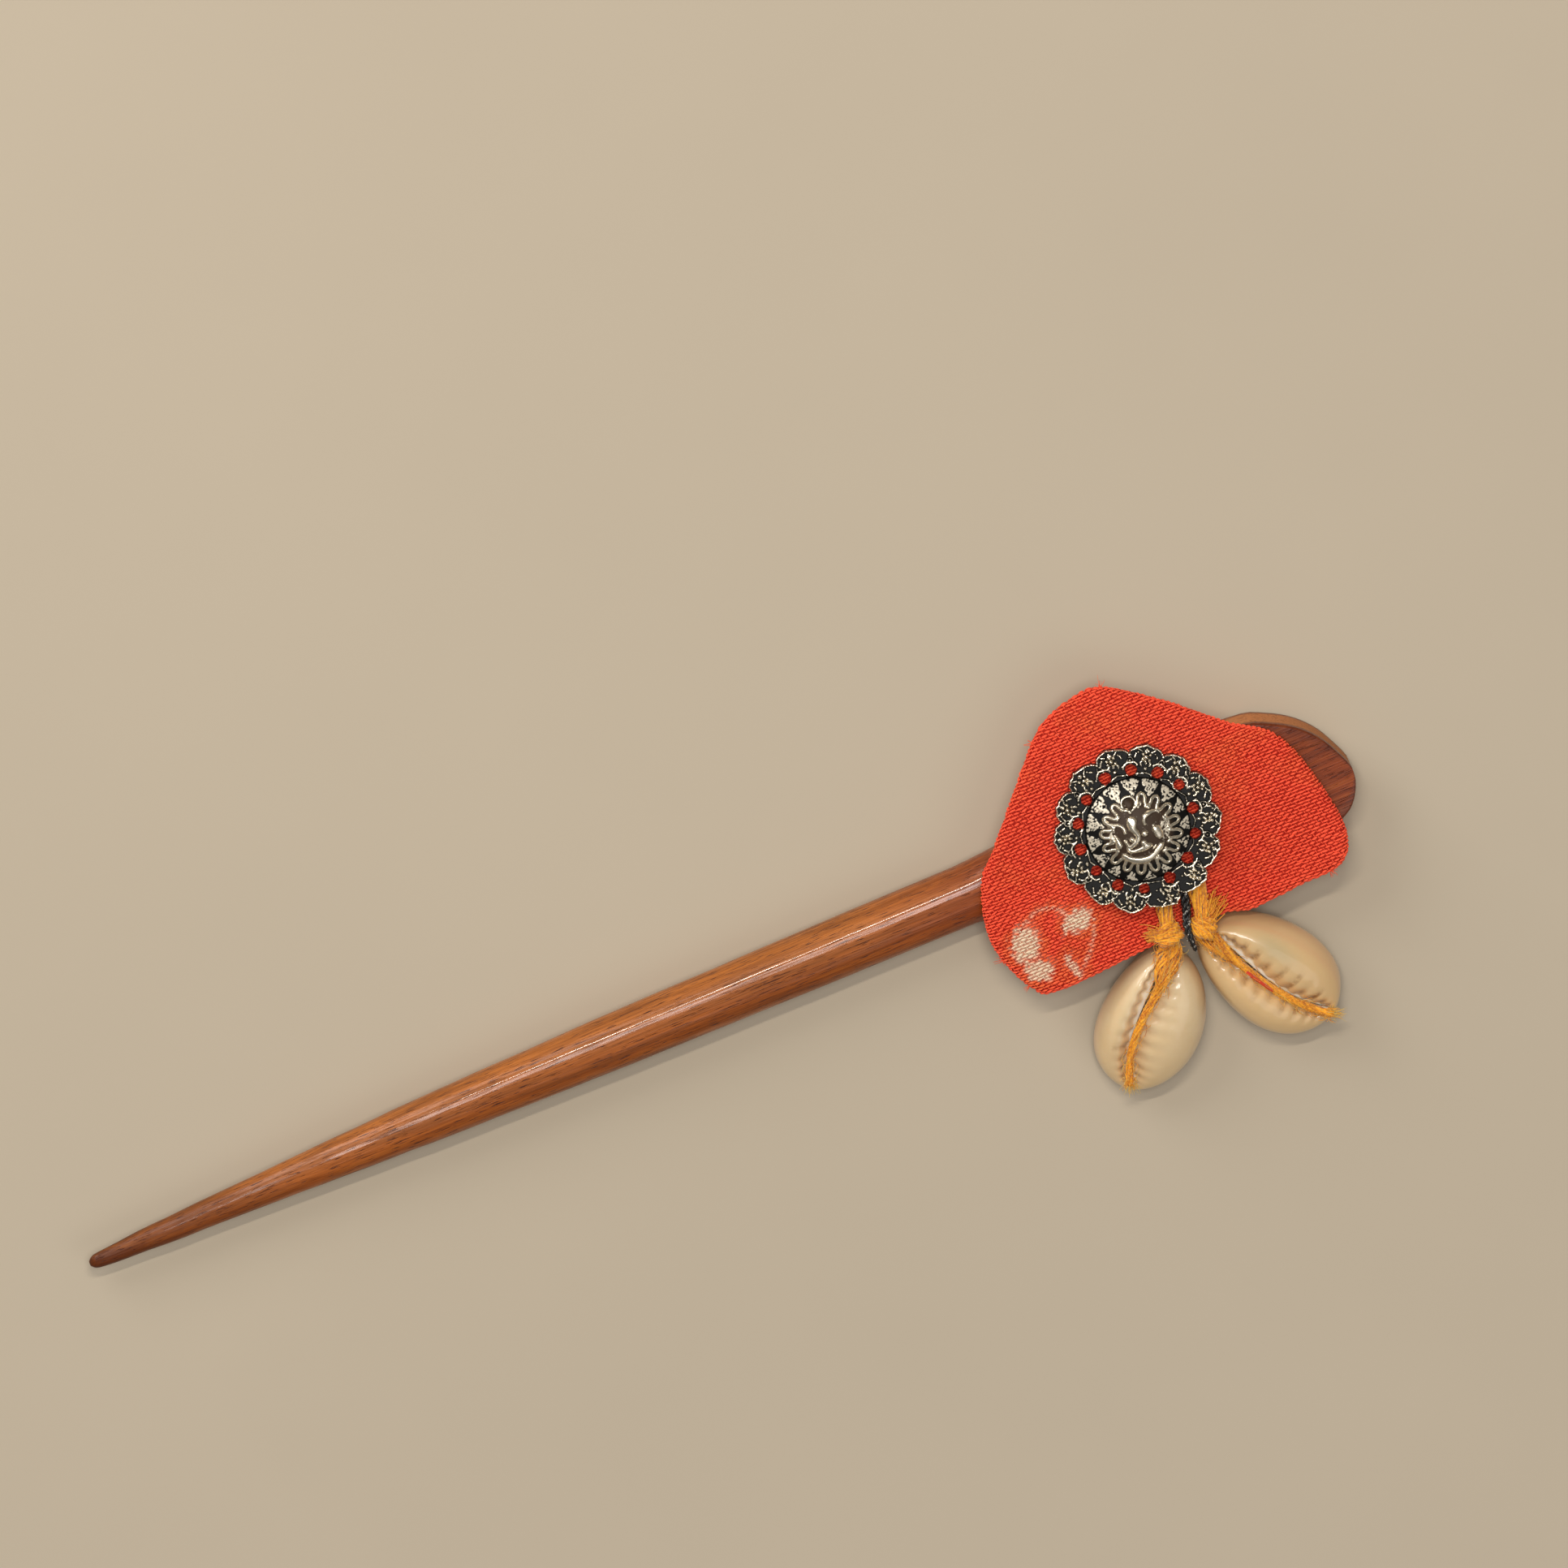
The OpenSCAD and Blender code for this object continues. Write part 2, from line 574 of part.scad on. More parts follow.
module black_cord() {
    r = cord_d / 2;
    knots_apart = right_knot[0] - left_knot[0];
    route = [for (row = CORD)
        [mix(left_knot[0], right_knot[0], 0.5) + row[1] * knots_apart,
            mix(under_y, cloth_low, row[0]),
            cloth_front + gap + row[3] * r + row[2] * knot_w, row[3] * r, row[3] * r]];
    color("#1c1a19") skin(tube_rings(open_curve(route, 3)));
}

stick();
cloth_patch();
medallion();
left_cowrie();
right_cowrie();
left_yarn();
right_yarn();
black_cord();
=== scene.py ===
"""Hair stick of carved wood with a cloth patch, a cast medallion and two cowrie shells on yarn.

X runs along the stick towards its head, Y across it, and Z up from the surface it lies on.
"""

import contextlib
import math

import bpy
import numpy as np
from mathutils import Matrix, Vector


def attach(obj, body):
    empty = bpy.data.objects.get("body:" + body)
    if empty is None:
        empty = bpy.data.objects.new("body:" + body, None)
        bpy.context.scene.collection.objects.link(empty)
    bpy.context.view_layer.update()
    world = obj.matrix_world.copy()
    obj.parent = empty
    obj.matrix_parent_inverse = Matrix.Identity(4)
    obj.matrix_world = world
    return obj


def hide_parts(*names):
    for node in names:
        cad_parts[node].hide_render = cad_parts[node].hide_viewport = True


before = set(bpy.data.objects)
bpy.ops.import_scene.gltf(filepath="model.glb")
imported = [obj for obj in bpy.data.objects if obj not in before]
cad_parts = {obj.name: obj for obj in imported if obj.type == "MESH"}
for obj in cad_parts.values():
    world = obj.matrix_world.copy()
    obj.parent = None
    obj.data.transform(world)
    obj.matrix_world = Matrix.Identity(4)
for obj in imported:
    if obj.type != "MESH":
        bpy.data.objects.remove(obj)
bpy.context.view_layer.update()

bl_info = {
    "name": "Hair stick",
    "version": (1, 0, 0),
    "blender": (4, 5, 0),
    "location": "View3D > Sidebar > Hair stick",
    "description": "Models a hair stick with a cloth patch, a medallion and two cowrie shells",
    "category": "Add Mesh",
}

MM = 0.001

# Steps of a round corner and of a flat in a section of the wood, and steps from one row to the next
# in the shaft's and in the head's table
ARC_STEPS, FLAT_STEPS = 8, 6
SHAFT_STEPS, HEAD_STEPS = 4, 3
# Sizes of the first sections at the blunt tip, as shares of what the shaft's table gives
TIP_ROUNDING = (0.45, 0.72, 0.88, 0.96)
# Depth of the knife's marks on the wood
KNIFE_MARK = 0.03 * MM
# Depth of the groove between the two plies of the cloth, height of its soft waves, and of the
# pucker along its edge
SEAM_DEPTH, SOFT_WAVE, PUCKER = 0.16 * MM, 0.1 * MM, 0.09 * MM
# Depth of the plies below the face on which their threads lie
PLY_DEPTH = 0.14 * MM
# Step of the net that the medallion's front is cut from
NET_STEP = 0.088 * MM
# Height of the raised rim of the flange, and depth of the blackened ground below the flange's face
RIM_LIFT, GROUND_DEPTH = 0.28 * MM, 0.2 * MM

# Share of the medallion's radius, below its middle, where the yarns and the cord begin
UNDER = 0.82
# Height of the cloth's face as a share of the cloth's thickness
FACE = 0.88
# Degrees that the medallion's pattern is turned from the line of the stick
COIN_TURN = -22.65
# Radius of the medallion's dome as a share of the medallion's radius
DOME_SHARE = 0.61
# Degrees at which the first pierced hole and the first petal stand
FIRST_HOLE, FIRST_PETAL = 97, 113.2
# Height of most raised lines and beads on the medallion, as shares of their radius
LINE_LIFT, BEAD_LIFT = 1.4, 1.6
# Half the length of a slit, as a share of the shell's length
SLIT_REACH = 0.44
# Points around a shell for each of its grooves
GROOVE_POINTS = 9
# Radii of a knot's strands and of a fibre of fuzz
KNOT_STRAND_R, FUZZ_R = 0.17 * MM, 0.028 * MM
# Place of the middle of the photograph's frame, along the stick and across it, in millimetres
AIM = (19.6, 23.53)
# Lights. Columns: name, place to the right, up and towards the camera in metres, size in metres,
# power in watts, colour.
LIGHTS = [
    ("key", (-0.05, 0.3, 1.2), (0.4, 0.035), 4.3, (1, 0.94, 0.84)),
    ("front", (0.1, -0.1, 2.2), (0.7, 0.7), 16.6, (1, 1, 1)),
    ("window", (-0.5, 0.4, 0.6), (0.5, 0.5), 2.8, (1, 1, 1)),
    ("fill", (0.5, -0.5, 0.6), (0.6, 0.6), 0.9, (1, 1, 1)),
    ("glint", (-0.7, 0.6, 0.3), (0.15, 0.05), 1.4, (1, 1, 1))]
# Colour and strength of the sky
SKY, SKY_STRENGTH = (1, 0.97, 0.93, 1), 0.22

# Shaft sections. Columns: share of the shaft's length from the tip, share of its swelling.
SHAFT = [
    (0, 0), (0.008, 0.08), (0.05, 0.2), (0.1, 0.3), (0.155, 0.375), (0.205, 0.445),
    (0.26, 0.535), (0.31, 0.61), (0.41, 0.74), (0.51, 0.82), (0.62, 0.9), (0.72, 0.935),
    (0.87, 0.98)]
# Head sections. Columns: share of the head's length, share of its widening, share of the
# widened width that is left, middle of the width as a share of the head's width.
HEAD = [
    (0, 0, 1, 0), (0.11, 0.085, 1, -0.005), (0.22, 0.265, 1, -0.019), (0.35, 0.54, 1, -0.037),
    (0.48, 0.78, 1, -0.053), (0.61, 0.955, 1, -0.07), (0.7, 1, 1, -0.075),
    (0.8, 1, 0.98, -0.083), (0.857, 1, 0.893, -0.107), (0.9, 1, 0.8, -0.134),
    (0.93, 1, 0.7, -0.158), (0.961, 1, 0.535, -0.187), (0.985, 1, 0.305, -0.211),
    (0.997, 1, 0.14, -0.214), (1, 1, 0.06, -0.2)]
# Outline of the cloth from its middle. Columns: share of its length, share of its width.
CLOTH_EDGE = [
    (-0.045, 0.5), (0.04, 0.495), (0.185, 0.36), (0.31, 0.205), (0.43, 0.075), (0.485, -0.15),
    (0.5, -0.35), (0.455, -0.46), (0.34, -0.475), (0.18, -0.488), (0.11, -0.462),
    (-0.08, -0.472), (-0.375, -0.5), (-0.45, -0.44), (-0.5, -0.235), (-0.47, -0.02),
    (-0.395, 0.1), (-0.2, 0.395), (-0.13, 0.465)]
# Section of a shell's wall, from its cut rim over the crest to the lip of the slit, a ledge
# inside the slit, and back inside. Columns: share of the way from the rim to the slit, share of
# the height, shares of the wall that the point lies inwards and downwards, share of the slit's
# half width that it lies beyond the lip.
SHELL_WALL = [
    (0.03, 0, 0, 0, 0), (0, 0.24, 0, 0, 0), (0.07, 0.56, 0, 0, 0), (0.22, 0.83, 0, 0, 0),
    (0.48, 0.98, 0, 0, 0), (0.78, 0.97, 0, 0, 0), (1, 0.82, 0, 0, 0), (1, 0.78, 0, 0, 0.35),
    (1, 0.74, 0, 0, 0.75), (1, 0.56, 0, 0, 0.5), (0.8, 0.97, 0, -1, 0),
    (0.34, 0.93, 0.2, -1, 0), (0.07, 0.56, 1, -0.3, 0), (0.03, 0, 1, 0, 0)]
# How each shell lies and is made. Columns: share of the shell's height that its tied end lies below
# the cloth's front, heading and roll in degrees, then three groups. Sides: share of the width that
# lies to the left of the slit's line, and how much each side leans to the free end. Slit: its bow
# as a share of the width, the power that carries the bow along, and its shifts at the tied end and
# at the free end. Yarn: side of the slit on which it lies, and its reach.
SHELL_FORMS = {
    "left": (0.72, -125, 0, (0.465, 0.28, 0.04), (0.119, 1.4, 0, 0), (1, 1)),
    "right": (0.8, -56, 10, (0.495, 0.28, 0.12), (0.05, 1.8, 0.06, 0.08), (-0.5, 1.05))}
# Middles of the knots. Columns: onwards from the tied end, above the cloth's lower edge, both as
# shares of a knot's width. Both knots rise by the same share.
KNOTS = {"left": (0.18, 0.6), "right": (0.13, 0.34)}
KNOT_RISE = 0.34
# Points of a yarn on a shell. Columns: share of the way along the shell, share of the slit's
# spare width that it lies aside, share of the face's height that its underside has, share of the
# spread that it has at its knot.
YARN_IN_SLIT = [
    (-0.04, 0, 1, 1), (0.05, 0, 1.06, 0.9), (0.13, 0.1, 1.04, 0.5), (0.24, 0.5, 0.9, 0.1),
    (0.42, 0.3, 0.84, 0), (0.62, 0, 0.84, 0), (0.78, 0, 0.88, 0), (0.87, 0, 1, 0),
    (0.905, 0, 1.02, 0.05)]
# Hidden start and tuft of each yarn. Columns: shares of the yarn's diameter that it starts aside of
# its knot, way of the tuft in shares of a knot's reach, seed of its random numbers.
YARN_ENDS = {"left": (0.7, (-0.79, 0.24, -0.05), 61), "right": (0.9, (0.92, 0.84, 0), 71)}
# Points of the black cord. Columns: share of the way from under the medallion to the cloth's edge,
# share of the distance between the knots that it lies aside, rise as a share of a knot's width,
# share of its radius.
CORD = [
    (0, 0.36, 0, 1.35), (0.37, 0.27, 0.16, 1.3), (0.67, 0.07, 0.48, 1.1),
    (0.95, 0.02, 0.46, 0.8), (1.16, 0.035, 0.28, 0.6)]
# Strokes of the raised figure, in shares of the dome's radius from its middle. Columns: right,
# up, radius. A stroke of one point is a bead.
FIGURE = [
    [(-0.145, 0.193, 0.098), (-0.13, 0.07, 0.07), (-0.078, 0.008, 0.055), (-0.016, -0.084, 0.045),
        (-0.037, -0.177, 0.045), (-0.109, -0.259, 0.04), (-0.17, -0.3, 0.03),
        (-0.263, -0.177, 0.025)],
    [(-0.13, -0.156, 0.045)],
    [(-0.17, 0.368, 0.035)],
    [(-0.664, 0.224, 0.027), (-0.58, 0.13, 0.027), (-0.48, 0.11, 0.027), (-0.376, 0.11, 0.027),
        (-0.294, 0.05, 0.027), (-0.263, -0.033, 0.027)],
    [(0.107, 0.142, 0.02), (0.086, 0.214, 0.03), (0.107, 0.296, 0.045), (0.168, 0.347, 0.045),
        (0.25, 0.388, 0.03), (0.374, 0.4, 0.02)],
    [(0.333, 0.05, 0.08), (0.384, -0.053, 0.075), (0.395, -0.115, 0.02)],
    [(0.27, 0.12, 0.02)],
    [(0.107, -0.033, 0.06)],
    [(-0.458, -0.084, 0.015), (-0.407, -0.177, 0.04), (-0.376, -0.28, 0.065)],
    [(-0.21, -0.32, 0.025), (-0.15, -0.38, 0.035), (-0.047, -0.372, 0.035), (0.086, -0.32, 0.05),
        (0.158, -0.27, 0.06), (0.23, -0.26, 0.03)],
    [(0.097, -0.218, 0.06)],
    [(-0.273, -0.475, 0.05), (-0.17, -0.537, 0.055), (-0.016, -0.567, 0.065),
        (0.138, -0.547, 0.065), (0.27, -0.475, 0.055), (0.374, -0.34, 0.05),
        (0.436, -0.249, 0.045)],
    [(0.323, -0.26, 0.015), (0.27, -0.33, 0.015)]]
# Bead that stands in the ring of petals, in the figure's columns
RING_BEAD = (-0.2, 0.522, 0.1)
# Stippled patches of the dome, in shares of its radius. Columns: right, up, half width, half
# height.
PATCHES = [(0.5, 0.08, 0.1, 0.24), (-0.5, -0.12, 0.06, 0.16), (-0.02, 0.5, 0.1, 0.06)]
# Middle of the ring of petals, as shares of the dome's radius, and the ring's radius
PETAL_RING = (0.05, -0.06, 0.665)
# Half of one petal. Columns: share of the dome's radius outwards from the ring, share aside.
PETAL = [(0.1, 0), (0.075, 0.045), (0.02, 0.066), (-0.05, 0.064), (-0.1, 0.085), (-0.135, 0.128)]
# Pierced holes. Columns: degrees off its even place, share of the medallion's radius, share of
# the usual diameter.
HOLES = [
    (-0.2, 0.69, 1), (0.3, 0.7, 1.06), (2, 0.68, 0.95), (0.9, 0.69, 1), (0, 0.7, 1.03),
    (0, 0.68, 0.94), (-0.2, 0.69, 1), (-0.4, 0.7, 0.92), (0.6, 0.68, 1.02), (1.3, 0.67, 1.05),
    (1.2, 0.67, 0.95), (0.9, 0.68, 1), (1.7, 0.7, 0.96), (-0.5, 0.69, 1.04)]
# Degrees that the tip of each scallop lies off the middle between its two holes
SCALLOP_TIPS = [3.5, 2.5, 2.6, 1.1, 3, 6.1, 1.4, 8.1, 7.4, 5, 2.9, 1.9, -1, -0.2]
# Half of a scallop's edge. Columns: share of the way to its tip, share of its rise.
SCALLOP_EDGE = [(0, 0), (0.1, 0.34), (0.3, 0.6), (0.58, 0.76), (0.84, 0.87), (1, 1)]
# Raised lines on one scallop, mirrored to its other half. Columns: share of the medallion's
# radius outwards, share of it aside, radius as a share of it.
SCALLOP_LINES = [
    [(0.903, 0.055, 0.0105), (0.922, 0.09, 0.0115), (0.94, 0.11, 0.009)],
    [(0.8, 0.034, 0.012), (0.775, 0.06, 0.0145), (0.745, 0.052, 0.012)],
    [(0.872, 0.118, 0.012), (0.838, 0.132, 0.0125)],
    [(0.667, 0.006, 0.0095), (0.645, 0.07, 0.0095), (0.622, 0.15, 0.009)]]
# Raised beads on one scallop, in the same columns
SCALLOP_BEADS = [
    (0.975, 0.004, 0.0115), (0.93, 0.003, 0.0125), (0.912, 0.014, 0.016), (0.845, 0.001, 0.022),
    (0.888, 0.098, 0.0135), (0.712, 0.004, 0.0175), (0.742, 0.098, 0.013),
    (0.772, 0.002, 0.0135)]
# Threads of the weave, along a row and across it. Columns: rings and sides of its mesh, half its
# length, turn in radians, height of its middle over the cloth, half its width, half its height,
# tint. Lengths in millimetres.
THREADS = {
    "row": (4, 6, 0.47, 0.02, 0.07, 0.158, 0.11, 0.85),
    "cross": (3, 5, 0.24, math.pi / 2 + 0.25, 0.02, 0.095, 0.08, 0.35)}
# Spots of the faded print on the cloth. Columns: middle along the stick and across it from the
# cloth's middle, half lengths along and across, turn in degrees, strength. Lengths in millimetres.
PRINT_SPOTS = [
    (-20.6, -10.2, 1.7, 2.3, -16, 1), (-13, -9.8, 1.9, 1.3, 8, 1),
    (-20.2, -14.3, 1.8, 1.25, -32, 0.95), (-15.8, -15.4, 0.5, 1.9, 8, 0.8)]
# Rows of dots of the print. Columns: along the stick, across it, in millimetres.
PRINT_DOTS = [
    [(-19.7, -7.6), (-18.5, -6.8), (-17.3, -6.4), (-16, -6.6), (-14.8, -7.3), (-14.2, -8.2)],
    [(-11.2, -11.4), (-11.7, -12.5), (-12.5, -13.7), (-13.4, -14.9), (-14.4, -15.9),
        (-15.3, -16.8)]]
# Places of frayed threads on the cloth's edge, from its middle, in millimetres
FRAYS = [(-22.2, -15.7), (1.6, 18.3), (-23.8, -11.1), (20.5, -15.5), (-9.5, 15)]
# Strength of the brown stain along a shell, by the shell and the side of its slit. Columns:
# share of the way along the shell, strength.
STAINS = {
    ("left", -1): [(0, 0), (0.45, 0.05), (0.7, 0.5), (1, 0.5)],
    ("left", 1): [(0, 0), (0.3, 0.1), (0.6, 0.15), (1, 0.1)],
    ("right", -1): [(0, 0.3), (0.3, 0.3), (0.5, 0.8), (0.8, 0.9), (1, 0.6)],
    ("right", 1): [(0, 0.9), (0.3, 0.6), (0.6, 0.8), (1, 0.6)]}


def srgb(red, green, blue):
    """Colour values of the renderer from screen values of 0 to 255."""
    return tuple(((c / 255 + 0.055) / 1.055) ** 2.4 if c > 10 else c / 255 / 12.92
                 for c in (red, green, blue))


def length(name, size, about):
    """Property for a length that is given in millimetres."""
    return bpy.props.FloatProperty(
        name=name, description=about, default=size * MM, min=0, unit="LENGTH",
        subtype="DISTANCE")


def share(name, value, about):
    """Property for a plain share."""
    return bpy.props.FloatProperty(name=name, description=about, default=value)


def turned(name, degrees, about):
    """Property for an angle that is given in degrees."""
    return bpy.props.FloatProperty(
        name=name, description=about, default=math.radians(degrees), subtype="ANGLE",
        unit="ROTATION")


def count(name, number, about):
    """Property for a number of copies."""
    return bpy.props.IntProperty(name=name, description=about, default=number, min=1)


def colour(name, screen, about):
    """Property for a colour that is given in screen values."""
    return bpy.props.FloatVectorProperty(
        name=name, description=about, default=srgb(*screen), size=3, min=0, max=1,
        subtype="COLOR")


class StickSettings(bpy.types.PropertyGroup):
    """Sizes and colours of the wood"""
    stick_l: length("Length", 180, "Length from the tip to the end of the head")
    stick_t: length("Thickness", 7.2, "Thickness of the wood at the head")
    shaft_w: length("Shaft width", 8.1, "Width of the round shaft where the head begins")
    tip_w: length("Tip width", 1.4, "Width of the blunt tip")
    tip_bend: length("Tip bend", 0.5, "How far the tip bends below the line of the shaft")
    head_w: length("Head width", 18.7, "Greatest width of the flat head")
    head_l: length("Head length", 54, "Length of the head, from where the shaft widens")
    edge_r: length("Edge rounding", 0.5, "Rounding of the head's long edges")
    # The golden upper side and the brown lower side of the shaft are partly the wood's figure and
    # partly painted light and shade
    gold: colour("Golden wood", (186, 108, 42), "Wood on the upper side of the shaft")
    brown: colour("Brown wood", (164, 84, 22), "Wood on the lower side of the shaft")
    head: colour("Head wood", (150, 66, 22), "Wood of the flat head")
    side: colour("Side wood", (190, 121, 72), "Matt wood on the sides of the head")
    pore: colour("Pores", (62, 18, 3), "Dark pores and streaks")


class ClothSettings(bpy.types.PropertyGroup):
    """Sizes and colours of the cloth patch"""
    cloth_l: length("Length", 49.3, "Length along the stick")
    cloth_w: length("Width", 36.1, "Width across the stick")
    cloth_t: length("Thickness", 1.9, "Thickness of the two plies at the soft rolled edge")
    cloth_droop: length("Droop", 1.2, "How far the free edges droop")
    cloth_back: length("Setback", 28.5, "From the end of the head to the middle of the cloth")
    cloth_off: length("Offset", 2, "From the shaft's line up to the middle of the cloth")
    row_pitch: length("Row pitch", 0.43, "Distance between two rows of the weave")
    stitch_pitch: length("Stitch pitch", 1.12, "Distance between two threads in a row")
    red: colour("Red thread", (255, 92, 62), "Upper threads")
    orange: colour("Orange thread", (240, 112, 62), "Faded threads")
    # Deep red is painted shade: the ground between the threads and the shaded flanks of the threads
    # are darker than the thread's own red
    deep: colour("Deep red", (158, 22, 12), "Ground between the threads")
    cream: colour("Print", (240, 222, 190), "Faded print")


class MedallionSettings(bpy.types.PropertyGroup):
    """Sizes and colours of the medallion"""
    medallion_d: length("Diameter", 23, "Diameter over the scallops")
    flange_t: length("Flange", 1, "Thickness of the cast flange")
    dome_h: length("Dome height", 2.6, "Height of the dome above the flange")
    dome_wall: length("Dome wall", 1.1, "Wall of the hollow dome")
    pierced_d: length("Hole", 1.6, "Diameter of a pierced hole")
    relief_h: length("Relief", 0.5, "Height of the raised relief above the dome")
    medallion_off: length("Offset", 0.9, "From the cloth's middle, back and down")
    scallops: count("Scallops", 14, "Number of scallops and of pierced holes")
    petals: count("Petals", 16, "Places in the ring of petals")
    silver: colour("Silver", (232, 220, 198), "Polished high metal")
    black: colour("Patina", (8, 6, 4), "Blackened recesses")
    bronze: colour("Warm patina", (58, 42, 28), "Warm brown patina on the dome")


class ShellSettings(bpy.types.PropertyGroup):
    """Sizes and colours of the two cowrie shells"""
    left_tie: length("Left tie", 3.1, "From the cloth's middle back to the left tied end")
    right_tie: length("Right tie", 1.7, "From the cloth's middle on to the right tied end")
    left_shell_l: length("Left length", 20.7, "Length of the left shell")
    left_shell_w: length("Left width", 14.3, "Width of the left shell")
    right_shell_l: length("Right length", 22, "Length of the right shell")
    right_shell_w: length("Right width", 14.8, "Width of the right shell")
    shell_h: length("Height", 6, "Height above the cut back")
    shell_wall: length("Wall", 1, "Wall of a shell")
    slit_near: length("Near slit", 3.1, "Width of the slit towards the tied end")
    slit_far: length("Far slit", 1.5, "Width of the slit towards the free end")
    tooth_d: length("Tooth depth", 0.3, "Depth of a tooth beside the slit")
    teeth: count("Teeth", 12, "Teeth on each side of the slit")
    shell_rest: length("Rest height", 0.8, "Height of a free end above the surface")
    cream: colour("Cream", (228, 202, 160), "Pale face of the left shell")
    sand: colour("Sand", (226, 188, 134), "Pale face of the right shell")
    tan: colour("Tan", (214, 178, 126), "Darker face towards the free end")
    ivory: colour("Ivory", (246, 238, 218), "Pale inner lip of the slit")
    stain: colour("Stain", (140, 92, 42), "Brown stain between the teeth")
    # Peach also paints shade in a band inside the right shell's margin
    peach: colour("Peach", (222, 172, 126), "Tint along the outer margin")
    moss: colour("Moss", (150, 150, 118), "Greenish cloud on the right shell")


class YarnSettings(bpy.types.PropertyGroup):
    """Sizes and colours of the yarns and the black cord"""
    yarn_d: length("Yarn", 1.6, "Diameter of the yarn above the shells")
    yarn_slit_d: length("Yarn in slit", 1.1, "Diameter of the yarn where it lies in a slit")
    left_spread: share("Left spread", 2.5, "Spread of the left yarn at its knot")
    right_spread: share("Right spread", 1.6, "Spread of the right yarn at its knot")
    knot_w: length("Knot", 3.8, "Width of a knot")
    left_turn: turned("Left knot", 20, "Turn of the left knot's strands")
    right_turn: turned("Right knot", -30, "Turn of the right knot's strands")
    cord_d: length("Cord", 1, "Diameter of the black cord")
    gap: length("Clearance", 0.3, "Clearance between pieces that lie on each other")
    orange: colour("Orange", (255, 178, 40), "Lit yarn fibres")
    amber: colour("Amber", (172, 76, 12), "Shaded yarn fibres")
    fray: colour("Fray", (226, 196, 110), "Frayed ends")
    red: colour("Red streak", (226, 56, 34), "Red fibre in the right yarn")
    black: colour("Black", (13, 11, 10), "Black cord")
    # Pale specks that are painted glints on the black cord
    painted_glint: colour("Wax", (204, 198, 184), "Pale specks of wax on the black cord")


class StageSettings(bpy.types.PropertyGroup):
    """Floor, light and camera"""
    floor: colour("Floor", (191, 177, 156), "Pale floor")
    distance: length("Distance", 6000, "From the camera to the object")
    width: length("Frame width", 208, "Width of the frame at the object")
    turn: turned("Turn", 22.65, "Turn of the camera about its line of sight")
    tilt: turned("Tilt", 14, "Tilt of the line of sight from straight down")


class HairStickSettings(bpy.types.PropertyGroup):
    """All settings of the hair stick"""
    stick: bpy.props.PointerProperty(type=StickSettings)
    cloth: bpy.props.PointerProperty(type=ClothSettings)
    medallion: bpy.props.PointerProperty(type=MedallionSettings)
    shells: bpy.props.PointerProperty(type=ShellSettings)
    yarn: bpy.props.PointerProperty(type=YarnSettings)
    stage: bpy.props.PointerProperty(type=StageSettings)


# Curves and small geometry


def mix(a, b, f):
    """Value between a and b."""
    return a + (b - a) * f


def smooth_step(low, high, value):
    """Share of the way from low to high, with soft ends."""
    f = np.clip((value - low) / (high - low), 0, 1)
    return f * f * (3 - 2 * f)


def curve_at(a, b, c, d, f):
    """Point of a smooth curve between b and c."""
    return 0.5 * (2 * b + (c - a) * f + (2 * a - 5 * b + 4 * c - d) * f * f
                  + (3 * b - a - 3 * c + d) * f ** 3)


def closed_curve(points, steps):
    """Smooth closed outline through points."""
    p = np.asarray(points, float)
    rows = [curve_at(np.roll(p, 1, 0), p, np.roll(p, -1, 0), np.roll(p, -2, 0), k / steps)
            for k in range(steps)]
    return np.stack(rows, 1).reshape(-1, p.shape[1])


def open_curve(points, steps):
    """Smooth open line through points, which may hold more than places."""
    p = np.asarray(points, float)
    before = np.vstack([p[:1], p[:-2]])
    after = np.vstack([p[2:], p[-1:]])
    rows = [curve_at(before, p[:-1], p[1:], after, k / steps) for k in range(steps)]
    return np.vstack([np.stack(rows, 1).reshape(-1, p.shape[1]), p[-1:]])


def steady_curve(rows, steps):
    """Rows between the rows of a table, which never swing past them."""
    y = np.asarray(rows, float)
    d = np.diff(y, axis=0)
    m = np.zeros_like(y)
    same = d[1:] * d[:-1] > 0
    m[1:-1] = np.where(same, 2 * d[1:] * d[:-1] / np.where(same, d[1:] + d[:-1], 1), 0)
    m[0] = d[0]
    m[-1] = d[-1]
    out = []
    for k in range(steps):
        t = k / steps
        out.append((1 + 2 * t) * (1 - t) ** 2 * y[:-1] + t * (1 - t) ** 2 * m[:-1]
                   + t * t * (3 - 2 * t) * y[1:] + t * t * (t - 1) * m[1:])
    return np.vstack([np.stack(out, 1).reshape(-1, y.shape[1]), y[-1:]])


def unit(v):
    """Vectors of length one along the last axis."""
    return v / np.maximum(np.linalg.norm(v, axis=-1, keepdims=True), 1e-12)


def ripple(x, y, size, seed):
    """Soft uneven height between -1 and 1, from a few waves."""
    rng = np.random.default_rng(seed)
    total = np.zeros(np.broadcast(x, y).shape)
    for _ in range(7):
        a = rng.uniform(0, 2 * math.pi)
        k = 2 * math.pi / (size * rng.uniform(0.6, 1.8))
        total = total + np.sin(k * (x * math.cos(a) + y * math.sin(a)) + rng.uniform(0, 6.3))
    return total / 7 * 1.8


# Work on Blender objects


def activate(piece):
    """Makes a piece the only selected one."""
    bpy.ops.object.select_all(action="DESELECT")
    piece.select_set(True)
    bpy.context.view_layer.objects.active = piece


@contextlib.contextmanager
def edit_mode(piece):
    """Edit mode on one piece, for the steps inside the with block."""
    activate(piece)
    bpy.ops.object.mode_set(mode="EDIT")
    yield
    bpy.ops.object.mode_set(mode="OBJECT")


def name_active(name):
    """Names the new primitive and its mesh."""
    piece = bpy.context.object
    piece.name = name
    piece.data.name = name
    return piece


